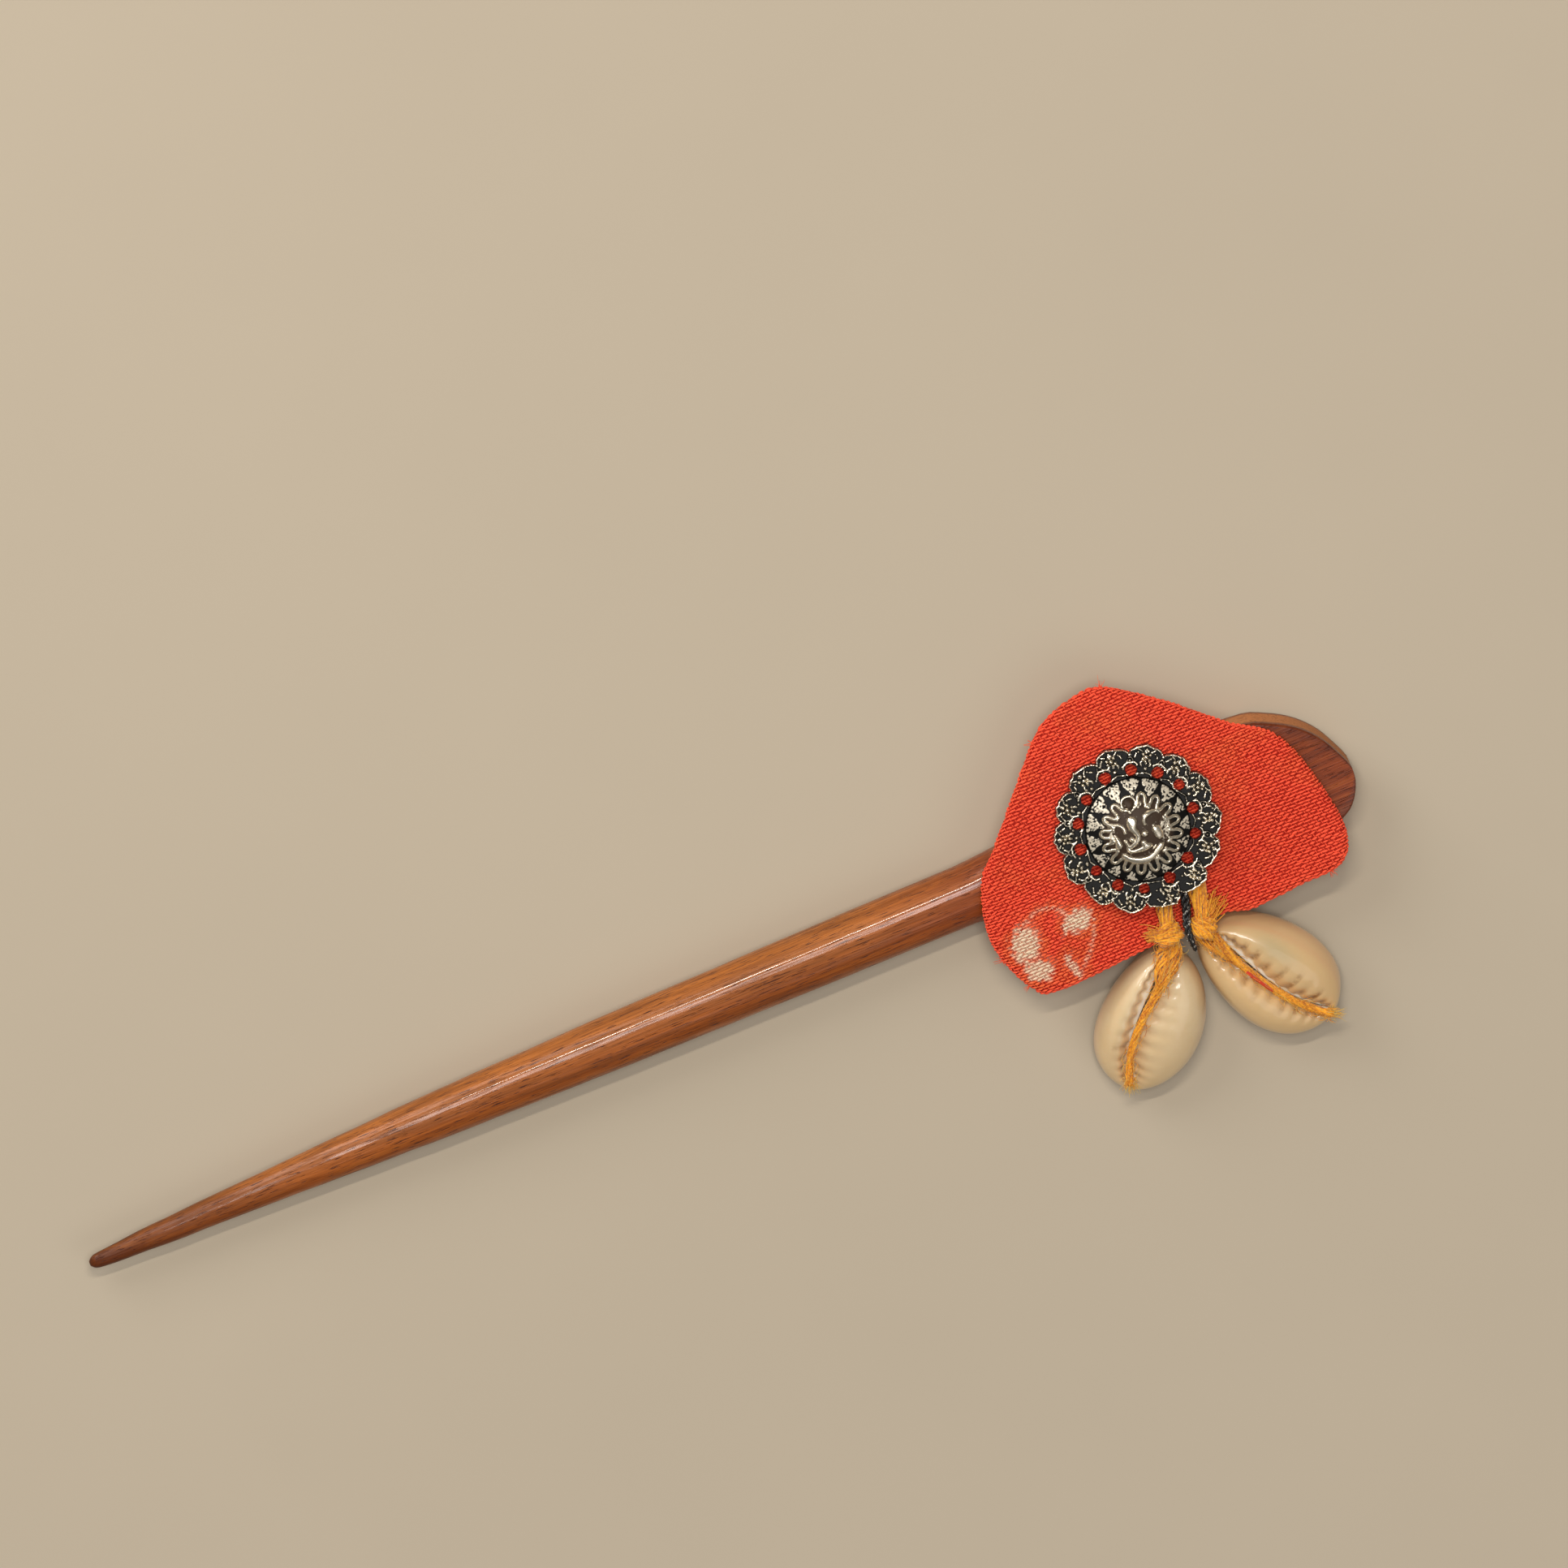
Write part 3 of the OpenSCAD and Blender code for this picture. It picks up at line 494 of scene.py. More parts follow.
def points_of(piece):
    """Places of a mesh's points."""
    flat = np.empty(len(piece.data.vertices) * 3)
    piece.data.vertices.foreach_get("co", flat)
    return flat.reshape(-1, 3)


def place(piece, points):
    """Moves a mesh's points."""
    piece.data.vertices.foreach_set("co", np.asarray(points, float).ravel())
    piece.data.update()


def store(piece, name, values):
    """Keeps a value for each point, or one for all of them, for the materials."""
    data = piece.data.attributes.new(name, "FLOAT", "POINT").data
    data.foreach_set("value", np.broadcast_to(np.ravel(values), len(data)).astype(float))


def mesh_piece(name, points, faces):
    """Piece from points and faces worked out in code."""
    mesh = bpy.data.meshes.new(name)
    mesh.from_pydata(np.asarray(points, float).reshape(-1, 3).tolist(), [], faces)
    mesh.update()
    piece = bpy.data.objects.new(name, mesh)
    bpy.context.collection.objects.link(piece)
    return piece


def outward(piece):
    """Turns a closed piece's faces outwards."""
    with edit_mode(piece):
        bpy.ops.mesh.select_all(action="SELECT")
        bpy.ops.mesh.normals_make_consistent(inside=False)


def subdivide_smooth(piece):
    """Rounds a piece by one level of subdivision."""
    activate(piece)
    bpy.ops.object.modifier_add(type="SUBSURF")
    modifier = piece.modifiers[-1]
    modifier.levels = 1
    modifier.render_levels = 1
    bpy.ops.object.modifier_apply(modifier=modifier.name)


def smooth_faces(piece, degrees):
    """Shades a piece smoothly, with creases at sharp edges."""
    activate(piece)
    bpy.ops.object.shade_smooth_by_angle(angle=math.radians(degrees))


def dress(piece, material, slot, *nodes):
    """Gives a piece its material and body, and hides the CAD nodes that it stands for. The slot is
    not used.
    """
    piece.data.materials.clear()
    piece.data.materials.append(material)
    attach(piece, "root")
    if nodes:
        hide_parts(*nodes)


def skin_cylinder(name, rings):
    """Closed piece from a cylinder, whose rings of points are given from bottom to top.

    Returns the piece and, for each of its points, the number of its ring, its number in the ring,
    and whether it is the middle of an end.
    """
    rings = np.asarray(rings)
    m, n = rings.shape[:2]
    bpy.ops.object.select_all(action="DESELECT")
    bpy.ops.mesh.primitive_cylinder_add(
        vertices=n, radius=1, depth=2, end_fill_type="TRIFAN", location=(0, 0, 0))
    piece = name_active(name)
    # Only the long edges are cut, and Blender cuts an edge at most 100 times at once
    bpy.context.tool_settings.mesh_select_mode = (False, True, False)
    with edit_mode(piece):
        bpy.ops.mesh.select_all(action="DESELECT")
    co = points_of(piece)
    for edge in piece.data.edges:
        a, b = edge.vertices
        edge.select = bool(abs(co[a][2] - co[b][2]) > 1)
    with edit_mode(piece):
        bpy.ops.mesh.subdivide(number_cuts=m - 2)
    co = points_of(piece)
    ring = np.rint((co[:, 2] + 1) / 2 * (m - 1)).astype(int)
    turn = np.arctan2(co[:, 0], co[:, 1])
    side = np.rint(turn / (2 * math.pi) * n).astype(int) % n
    new = rings[ring, side]
    middle = np.hypot(co[:, 0], co[:, 1]) < 0.1
    new[middle] = rings[ring[middle]].mean(axis=1)
    place(piece, new)
    return piece, ring, side, middle


def round_line(side, up, angle, wide, high):
    """Steps away from a line at an angle round each of its points."""
    return (wide * np.cos(angle))[:, None] * side + (high * np.sin(angle))[:, None] * up


def ring_turns(sides):
    """Even angles round a ring."""
    return np.arange(sides) / sides * 2 * math.pi


def side_and_up(lines, axis=0):
    """Directions aside and upwards along lines that run along an axis of the array."""
    step = unit(np.gradient(lines, axis=axis))
    side = unit(np.cross((0, 0, 1.0), step))
    return side, np.cross(step, side)


def run_along(at):
    """Length of a line up to each of its points."""
    return np.concatenate([[0], np.cumsum(np.linalg.norm(np.diff(at, axis=0), axis=1))])


def tube_faces(start, rings, sides):
    """Faces of one closed tube, whose first point has the number start."""
    faces = []
    last = start + (rings - 1) * sides
    for a in range(start, last, sides):
        for i in range(sides):
            k = (i + 1) % sides
            faces.append((a + i, a + k, a + sides + k, a + sides + i))
    faces.append(tuple(range(start + sides - 1, start - 1, -1)))
    faces.append(tuple(range(last, last + sides)))
    return faces


def tube_mesh(routes, sides):
    """Points and faces of closed round tubes. Each route has places and a radius in a row."""
    points, faces, start = [], [], 0
    turns = ring_turns(sides)
    for route in routes:
        at = route[:, :3]
        step = unit(np.gradient(at, axis=0))
        guide = np.where(np.abs(step[:, 2:3]) > 0.9, (1.0, 0, 0), (0, 0, 1.0))
        side = unit(np.cross(guide, step))
        up = np.cross(step, side)
        ring = (at[:, None] + route[:, 3][:, None, None]
                * (np.cos(turns)[None, :, None] * side[:, None]
                   + np.sin(turns)[None, :, None] * up[:, None]))
        points.append(ring.reshape(-1, 3))
        faces += tube_faces(start, len(at), sides)
        start += len(at) * sides
    return np.vstack(points), faces


# Materials


class Nodes:
    """Adds and links the nodes of one tree."""

    def __init__(self, tree):
        self.tree = tree

    def add(self, kind, inputs=None, **settings):
        """New node, whose inputs are numbers, colours or other nodes' outputs."""
        made = self.tree.nodes.new(kind)
        for name, value in settings.items():
            setattr(made, name, value)
        for name, value in (inputs or {}).items():
            socket = made.inputs[name]
            if isinstance(value, bpy.types.NodeSocket):
                self.tree.links.new(value, socket)
            elif socket.type == "RGBA":
                socket.default_value = (*value, 1)
            else:
                socket.default_value = value
        return made

    def math(self, operation, a, b, clamp=False):
        """Number from two numbers."""
        made = self.add("ShaderNodeMath", {0: a, 1: b}, operation=operation, use_clamp=clamp)
        return made.outputs[0]

    def mix(self, share, a, b):
        """Colour between two colours."""
        made = self.add("ShaderNodeMix", {0: share, 6: a, 7: b}, data_type="RGBA",
                        clamp_factor=True)
        return made.outputs[2]

    def layers(self, colour, *over):
        """Colour with others laid over it in turn, each given as its share and colour."""
        for share, layer in over:
            colour = self.mix(share, colour, layer)
        return colour

    def span(self, value, low, high, to_low=0.0, to_high=1.0):
        """Number carried from one span to another, without leaving it."""
        made = self.add("ShaderNodeMapRange", {0: value, 1: low, 2: high, 3: to_low, 4: to_high},
                        clamp=True)
        return made.outputs[0]

    def noise(self, vector, scale, detail=3.0, roughness=0.55):
        """Cloudy number about a half."""
        made = self.add("ShaderNodeTexNoise", {"Vector": vector, "Scale": scale,
                                               "Detail": detail, "Roughness": roughness})
        return made.outputs["Fac"]

    def place(self, stretch=(1, 1, 1)):
        """Place on the object in millimetres, stretched."""
        spot = self.add("ShaderNodeTexCoord").outputs["Object"]
        made = self.add("ShaderNodeMapping", {"Vector": spot,
                                              "Scale": tuple(s / MM for s in stretch)})
        return made.outputs["Vector"]

    def stored(self, name):
        """Value that the mesh keeps for each point."""
        return self.add("ShaderNodeAttribute", attribute_name=name,
                        attribute_type="GEOMETRY").outputs["Fac"]

    def group(self, tree, **inputs):
        """One of the shared groups, with its own values."""
        return self.add("ShaderNodeGroup", inputs, node_tree=tree).outputs

    def bump(self, height, distance, strength=1.0):
        """Normal from a height, whose full swing is a distance."""
        made = self.add("ShaderNodeBump", {"Height": height, "Distance": distance,
                                           "Strength": strength})
        return made.outputs["Normal"]


def new_material(name, **constants):
    """Material with a Principled BSDF, whose even values are set on its own sockets."""
    material = bpy.data.materials.new(name)
    material.use_nodes = True
    tree = material.node_tree
    shader = tree.nodes["Principled BSDF"]
    for socket, value in constants.items():
        shader.inputs[socket.replace("_", " ")].default_value = value
    return material, Nodes(tree), shader


def connect(nodes, shader, **sockets):
    """Links values that change over the surface to the shader."""
    for socket, value in sockets.items():
        nodes.tree.links.new(value, shader.inputs[socket.replace("_", " ")])


def new_group(name, inputs, outputs):
    """Empty shader node group with named inputs and outputs."""
    tree = bpy.data.node_groups.new(name, "ShaderNodeTree")
    for title, kind in inputs:
        tree.interface.new_socket(title, in_out="INPUT", socket_type=kind)
    for title, kind in outputs:
        tree.interface.new_socket(title, in_out="OUTPUT", socket_type=kind)
    nodes = Nodes(tree)
    return tree, nodes, nodes.add("NodeGroupInput").outputs, nodes.add("NodeGroupOutput").inputs


def thread_group():
    """Fibres of a thread: colour between a lit colour and a painted-shade colour, and a height."""
    if "Thread" in bpy.data.node_groups:
        return bpy.data.node_groups["Thread"]
    tree, nodes, given, out = new_group(
        "Thread",
        [("Lit", "NodeSocketColor"), ("Shade", "NodeSocketColor"), ("Tint", "NodeSocketFloat"),
         ("Scale", "NodeSocketFloat")],
        [("Colour", "NodeSocketColor"), ("Height", "NodeSocketFloat")])
    fine = nodes.noise(nodes.place(), given["Scale"], 4, 0.6)
    share = nodes.math("ADD", nodes.span(fine, 0.3, 0.7), given["Tint"], clamp=True)
    tree.links.new(nodes.mix(share, given["Shade"], given["Lit"]), out["Colour"])
    tree.links.new(fine, out["Height"])
    return tree


def mottle_group():
    """Cloudy mixture of two colours."""
    if "Mottle" in bpy.data.node_groups:
        return bpy.data.node_groups["Mottle"]
    tree, nodes, given, out = new_group(
        "Mottle",
        [("First", "NodeSocketColor"), ("Second", "NodeSocketColor"),
         ("Scale", "NodeSocketFloat"), ("Amount", "NodeSocketFloat")],
        [("Colour", "NodeSocketColor")])
    cloud = nodes.noise(nodes.place(), given["Scale"], 4, 0.6)
    share = nodes.math("MULTIPLY", nodes.span(cloud, 0.35, 0.7), given["Amount"])
    tree.links.new(nodes.mix(share, given["First"], given["Second"]), out["Colour"])
    return tree


def wood_material(look):
    """Oiled hardwood with grain along the stick, pores, matt sides, and a golden upper and brown
    lower side that are partly figure and partly painted light and shade.
    """
    material, nodes, shader = new_material("wood", Coat_Roughness=0.1, Specular_IOR_Level=0.22)
    drift = nodes.noise(nodes.place((0.03, 0.3, 0.3)), 1.0, 2)
    across = nodes.add("ShaderNodeCombineXYZ", {1: nodes.math("MULTIPLY", drift, 2.2)})
    grained = nodes.add("ShaderNodeVectorMath", {0: nodes.place((0.05, 1, 1)),
                                                 1: across.outputs[0]}, operation="ADD")
    streak = nodes.noise(grained.outputs[0], 1.1, 4, 0.6)
    fine = nodes.noise(nodes.place((0.09, 5, 5)), 1.0, 3, 0.6)
    pores = nodes.noise(nodes.place((0.4, 7, 7)), 1.0, 2, 0.5)
    spot = nodes.add("ShaderNodeSeparateXYZ", {0: nodes.place()})
    # Golden towards the upper side: partly the wood's figure, partly painted light on the side that
    # faces the light
    upper = nodes.span(nodes.math("ADD", spot.outputs[1], nodes.span(streak, 0.3, 0.7, -1, 1)),
                       6.2, 9.2)
    at_head = nodes.span(spot.outputs[0], 20, 45)
    at_tip = nodes.span(spot.outputs[0], -62, -86, 0, 0.72)
    side = nodes.stored("side")
    tone = nodes.layers(
        look.brown, (upper, look.gold), (at_head, look.head), (at_tip, look.pore),
        (nodes.span(streak, 0.42, 0.72, 0, 0.5), look.pore),
        (nodes.span(fine, 0.35, 0.75, 0, 0.5), look.pore),
        (nodes.span(streak, 0.48, 0.28, 0, 0.35), look.gold), (side, look.side),
        (nodes.span(pores, 0.59, 0.66, 0, 0.85), look.pore),
        (nodes.math("MULTIPLY", nodes.stored("edge"), 0.8), look.pore))
    rough = nodes.math("ADD", nodes.span(fine, 0.3, 0.7, 0.36, 0.5),
                       nodes.math("MULTIPLY", side, 0.3))
    dulled = nodes.math("MULTIPLY", nodes.span(side, 0, 1, 0.65, 0.0),
                        nodes.span(at_tip, 0, 0.72, 1, 0.3))
    shine = nodes.math("MULTIPLY", dulled, nodes.span(fine, 0.62, 0.36, 0.15, 1))
    height = nodes.math("SUBTRACT", nodes.math("MULTIPLY", fine, 0.6),
                        nodes.span(pores, 0.6, 0.72, 0, 0.5))
    connect(nodes, shader, Base_Color=tone, Roughness=rough, Coat_Weight=shine,
            Normal=nodes.bump(height, 0.07 * MM))
    return material


def cloth_material(look, name, lit, shade):
    """Cotton thread with a faded print, orange along its edges, mixed from a lit colour and a
    painted-shade colour.
    """
    material, nodes, shader = new_material(name, Roughness=0.88, Specular_IOR_Level=0.2)
    faded = nodes.noise(nodes.place(), 0.16, 2)
    worn = nodes.math("ADD", nodes.span(faded, 0.52, 0.75, 0, 0.6), nodes.stored("halo"),
                      clamp=True)
    tinted = nodes.mix(worn, lit, look.orange)
    thread = nodes.group(thread_group(), Lit=tinted, Shade=shade,
                         Tint=nodes.stored("tint"), Scale=4.0)
    printed = nodes.mix(nodes.stored("print"), thread["Colour"], look.cream)
    connect(nodes, shader, Base_Color=printed, Normal=nodes.bump(thread["Height"], 0.04 * MM))
    return material


def metal_material(look):
    """Oxidised cast silver: bright on the raised parts, black in the recesses."""
    material, nodes, shader = new_material("medallion_metal", Specular_IOR_Level=0.25)
    grit = nodes.noise(nodes.place(), 4.5, 4, 0.65)
    high = nodes.math("ADD", nodes.stored("relief"), nodes.span(grit, 0.3, 0.7, -0.16, 0.1),
                      clamp=True)
    tone = nodes.layers(look.black, (nodes.stored("dome"), look.bronze),
                        (nodes.span(high, 0.3, 0.75), look.silver))
    bright = nodes.span(high, 0.35, 0.7)
    stipple = nodes.stored("stipple")
    polish = nodes.math("MULTIPLY", nodes.span(bright, 0, 1, 0.1, 1),
                        nodes.span(stipple, 0, 1, 1, 0.45))
    connect(nodes, shader, Base_Color=tone, Metallic=polish,
            Roughness=nodes.math("ADD", nodes.span(bright, 0, 1, 0.5, 0.2),
                                 nodes.math("MULTIPLY", stipple, 0.2)),
            Normal=nodes.bump(grit, 0.03 * MM))
    return material


def shell_material(look, name, first):
    """Glossy cowrie with brown stains between its teeth, a tinted margin and, on the right shell, a
    band of painted shade inside the margin.
    """
    material, nodes, shader = new_material(
        name, Roughness=0.32, Coat_Weight=0.7, Coat_Roughness=0.04, Subsurface_Weight=0.12,
        Subsurface_Radius=(2 * MM, 1.2 * MM, 0.7 * MM), Subsurface_Scale=1.0)
    clouds = nodes.group(mottle_group(), First=first, Second=look.tan, Scale=0.14,
                         Amount=0.55)
    smudge = nodes.noise(nodes.place(), 1.1, 4, 0.65)
    marks = nodes.math("MULTIPLY", nodes.stored("stain"), nodes.span(smudge, 0.36, 0.6, 0.15, 1.1),
                       clamp=True)
    tone = nodes.layers(
        clouds["Colour"], (nodes.stored("far"), look.tan), (nodes.stored("cloud"), look.moss),
        (nodes.stored("margin"), look.peach), (marks, look.stain),
        (nodes.stored("inner"), look.ivory))
    growth = nodes.noise(nodes.place((0.5, 1.6, 1)), 1.0, 2)
    connect(nodes, shader, Base_Color=tone, Normal=nodes.bump(growth, 0.05 * MM, 0.5))
    return material


def yarn_material(name, lit, shade):
    """Loose fibres with deeper shade between them."""
    material, nodes, shader = new_material(name, Roughness=0.7, Sheen_Weight=0.4,
                                           Sheen_Roughness=0.35)
    thread = nodes.group(thread_group(), Lit=lit, Shade=shade,
                         Tint=nodes.stored("tint"), Scale=3.0)
    connect(nodes, shader, Base_Color=thread["Colour"],
            Normal=nodes.bump(thread["Height"], 0.05 * MM))
    return material


def cord_material(look):
    """Waxed black cord, with pale specks that are painted glints."""
    material, nodes, shader = new_material("black_cord_wax", Coat_Weight=0.3,
                                           Coat_Roughness=0.12)
    thread = nodes.group(thread_group(), Lit=tuple(1.6 * c for c in look.black),
                         Shade=look.black, Tint=nodes.stored("tint"), Scale=5.0)
    # Pale specks: painted glints
    specks = nodes.span(nodes.noise(nodes.place(), 1.7, 2, 0.6), 0.6, 0.66, 0, 0.85)
    connect(nodes, shader, Base_Color=nodes.mix(specks, thread["Colour"], look.painted_glint),
            Roughness=nodes.span(thread["Height"], 0.3, 0.7, 0.25, 0.5),
            Normal=nodes.bump(thread["Height"], 0.05 * MM))
    return material


def floor_material(look):
    """Pale matt floor."""
    material, nodes, shader = new_material("floor", Roughness=0.95, Specular_IOR_Level=0.1)
    darker = tuple(0.95 * c for c in look.floor)
    clouds = nodes.group(mottle_group(), First=look.floor, Second=darker, Scale=0.01,
                         Amount=0.6)
    connect(nodes, shader, Base_Color=clouds["Colour"])
    return material


# Places that several pieces share


class Layout:
    """Places worked out from the settings, as the solids have them."""

    def __init__(self, settings):
        stick, cloth, shells, yarn = settings.stick, settings.cloth, settings.shells, settings.yarn
        coin = settings.medallion
        self.cloth_x = stick.stick_l / 2 - cloth.cloth_back
        self.cloth_y = cloth.cloth_off
        self.cloth_z = stick.stick_t + yarn.gap
        self.cloth_front = self.cloth_z + cloth.cloth_t
        self.cloth_face = self.cloth_z + FACE * cloth.cloth_t
        outline = closed_curve(CLOTH_EDGE, 16)
        self.outline = outline * (cloth.cloth_l, cloth.cloth_w) + (self.cloth_x, self.cloth_y)
        coarse = closed_curve(CLOTH_EDGE, 3) * (cloth.cloth_l, cloth.cloth_w)
        cloth_high = coarse[:, 1].max() + self.cloth_y
        self.cloth_low = coarse[:, 1].min() + self.cloth_y
        self.coin_r = coin.medallion_d / 2
        # The medallion leans on the yarns that start under its lower edge
        self.coin_tilt = math.asin((yarn.yarn_d + 1.4 * yarn.gap) / ((1 + UNDER) * self.coin_r))
        self.coin_at = (self.cloth_x - coin.medallion_off, self.cloth_y - coin.medallion_off,
                        self.cloth_face + yarn.gap + self.coin_r * math.sin(self.coin_tilt))
        self.under_y = self.coin_at[1] - UNDER * self.coin_r
        left_x, right_x = self.cloth_x - shells.left_tie, self.cloth_x + shells.right_tie
        self.left_knot = self.knot("left", left_x, yarn)
        self.right_knot = self.knot("right", right_x, yarn)
        self.left = Shell(self, shells, shells.left_shell_l, shells.left_shell_w,
                          (left_x, self.cloth_low - yarn.gap), SHELL_FORMS["left"],
                          yarn.left_spread)
        self.right = Shell(self, shells, shells.right_shell_l, shells.right_shell_w,
                           (right_x, self.cloth_low + yarn.gap), SHELL_FORMS["right"],
                           yarn.right_spread)
        # The middle of the whole outline lies on the frame's line
        around = 4 * (shells.teeth + 2)
        angles = (np.arange(around) + 0.5) / around * 360
        low = min(shell.place(shell.wall(angles, *SHELL_WALL[1][:2]))[:, 1].min()
                  for shell in (self.left, self.right))
        self.axis_y = -(cloth_high + low) / 2

    def knot(self, side, tied_x, yarn):
        """Middle of a knot."""
        onwards, above = KNOTS[side]
        return (tied_x + onwards * yarn.knot_w, self.cloth_low + above * yarn.knot_w,
                self.cloth_front + yarn.gap + KNOT_RISE * yarn.knot_w)


class Shell:
    """One cowrie: its size, its place and the formulas of its surface."""

    def __init__(self, layout, look, l, w, end, form, spread):
        self.look, self.l, self.w, self.spread = look, l, w, spread
        sink, heading, roll, self.side, self.slit, self.yarn = form
        z = layout.cloth_front - sink * look.shell_h
        roll = math.radians(roll)
        heading = math.radians(heading)
        # A rolled shell's free end lies higher, so that its lower side clears the surface
        low = look.shell_rest + 0.3 * w * math.sin(roll)
        dip = math.asin((z - low) / l)
        self.end = np.array((end[0], end[1], z))
        along = np.array((math.cos(dip) * math.cos(heading), math.cos(dip) * math.sin(heading),
                          -math.sin(dip)))
        flat = np.array((-math.sin(heading), math.cos(heading), 0))
        out = np.cross(along, flat)
        self.axes = np.array((along, math.cos(roll) * flat + math.sin(roll) * out,
                              math.cos(roll) * out - math.sin(roll) * flat))

    def place(self, points):
        """Places in the object of points in the shell's own directions."""
        return self.end + np.asarray(points) @ self.axes

    def rim(self, a):
        """Rim at angles around the shell, in degrees. 0 is the tied end."""
        a = np.radians(a)
        below = np.sin(a) < 0
        half = self.w * np.where(below, self.side[0], 1 - self.side[0])
        lean = np.where(below, self.side[1], self.side[2])
        return np.stack([self.l / 2 * (1 - np.cos(a)),
                         half * np.sin(a) * (1 - lean * np.cos(a)) / (1 + 0.18 * lean)], -1)

    def along(self, a):
        """Share of the way along the shell of the slit's lip at angles around the shell."""
        return 0.5 - SLIT_REACH * np.cos(np.radians(a))

    def slit_middle(self, f):
        """Line of the slit along the shell."""
        bow = np.sin(math.pi * np.clip(f, 0, 1) ** self.slit[1])
        return self.w * (self.slit[2] * (1 - f) ** 2 + self.slit[3] * f ** 4 - self.slit[0] * bow)

    def slit_half(self, f):
        """Half the slit's width, which narrows over its near half and closes at its ends."""
        end = np.clip((0.5 - f) / SLIT_REACH, -1, 1)
        taper = np.clip((f - 0.15) / 0.4, 0, 1)
        return mix(self.look.slit_near, self.look.slit_far, taper) / 2 * (1 - end ** 2) ** 0.25

    def slit_edge(self, a, tooth):
        """Lip of the slit at angles around the shell."""
        f = self.along(a)
        half = (self.slit_half(f) + tooth) * np.where(np.sin(np.radians(a)) < 0, -1, 1)
        return np.stack([self.l * f, self.slit_middle(f) + half], -1)

    def face_share(self, f):
        """Height of the face along the shell, lower at its two notched ends."""
        return 0.58 + 0.42 * np.maximum(0, np.sin(math.pi * np.clip(f, 0, 1))) ** 0.7

    def wall(self, a, way, up, inward=0.0, down=0.0, tooth=0.0, ridge=0.0, ledge=0.0):
        """Points of the wall at angles around the shell and a share of the way to the slit."""
        rim = self.rim(a)
        lip = self.slit_edge(a, tooth)
        flat = mix(rim, lip, way)
        reach = np.minimum(self.look.shell_wall, 0.4 * np.linalg.norm(lip - rim, axis=-1))
        half = self.slit_half(self.along(a))
        flat = flat + (inward * reach + ledge * half)[..., None] * unit(lip - rim)
        f = np.clip(flat[..., 0] / self.l, 0, 1)
        z = np.maximum(0, up * self.look.shell_h * self.face_share(f)
                       + down * self.look.shell_wall)
        return np.concatenate([flat, (z + ridge)[..., None]], -1)


def head_shape(stick, x):
    """Width and middle of the head at places along the stick."""
    table = np.array(HEAD)
    f = np.clip((x + stick.stick_l / 2 - (stick.stick_l - stick.head_l)) / stick.head_l, 0, 1)
    grown, left, middle = (np.interp(f, table[:, 0], table[:, k]) for k in (1, 2, 3))
    return mix(stick.shaft_w, stick.head_w, grown) * left, stick.head_w * middle


# Pieces


def wood_section(x, y, z, w, t, corner):
    """One section of the wood round a middle: four round corners, each followed by a flat."""
    c = min(corner, 0.48 * w, 0.48 * t)
    arcs = []
    for q, (sy, sz) in enumerate(((1, 1), (-1, 1), (-1, -1), (1, -1))):
        turns = np.radians(90 * (q + np.arange(ARC_STEPS + 1) / ARC_STEPS))
        arcs.append(np.stack([sy * (w / 2 - c) + c * np.cos(turns),
                              sz * (t / 2 - c) + c * np.sin(turns)], -1))
    points = []
    for arc, following in zip(arcs, arcs[1:] + arcs[:1]):
        points.append(arc)
        points += [mix(arc[-1:], following[:1], k / FLAT_STEPS) for k in range(1, FLAT_STEPS)]
    flat = np.vstack(points)
    return np.stack([np.full(len(flat), x), y + flat[:, 0], z + flat[:, 1]], -1)


def make_stick(settings, layout):
    """Stick: a cylinder lofted through the sections of the shaft and the head."""
    look = settings.stick
    shaft_l = look.stick_l - look.head_l
    half_t = look.stick_t / 2
    rings, sharpness = [], []
    for f, grown in steady_curve(SHAFT, SHAFT_STEPS):
        w = mix(look.tip_w, look.shaft_w, grown)
        t = look.stick_t * w / look.shaft_w
        bend = -look.tip_bend * (1 - f) ** 4
        rings.append(wood_section(f * shaft_l - look.stick_l / 2, layout.axis_y + bend, half_t,
                                  w, t, t / 2))
        sharpness.append(0)
    for f, grown, left, middle in steady_curve(HEAD, HEAD_STEPS):
        w = mix(look.shaft_w, look.head_w, grown) * left
        # The edges change from round to sharp as the head widens
        sharp = min(1, 1.6 * grown)
        rings.append(wood_section(shaft_l - look.stick_l / 2 + f * look.head_l,
                                  layout.axis_y + look.head_w * middle, half_t,
                                  w, look.stick_t, mix(half_t, look.edge_r, sharp)))
        sharpness.append(sharp)
    rings = np.array(rings)
    for k, left in enumerate(TIP_ROUNDING):
        middle = rings[k].mean(axis=0)
        rings[k] = middle + (rings[k] - middle) * left
    # Shallow marks of the knife, on the sides and on the upper half
    x, y, z = np.moveaxis(rings, -1, 0)
    y += KNIFE_MARK * ripple(x, z, 9 * MM, 3)
    z += KNIFE_MARK * ripple(x, y, 8 * MM, 4) * (z > half_t)
    piece, ring, side, middle = skin_cylinder("carved_stick", rings)
    sharp = np.array(sharpness)[ring]
    quarter, place_in = np.divmod(side, ARC_STEPS + FLAT_STEPS)
    on_arc = (place_in <= ARC_STEPS) & ~middle
    on_side = (quarter % 2 == 1) & (place_in > ARC_STEPS) & ~middle
    store(piece, "edge", on_arc * np.clip(sharp * 2 - 1, 0, 1) * 0.6)
    store(piece, "side", on_side * np.clip(sharp * 1.5 - 0.4, 0, 1))
    outward(piece)
    smooth_faces(piece, 50)
    dress(piece, wood_material(look), "wood", "stick")


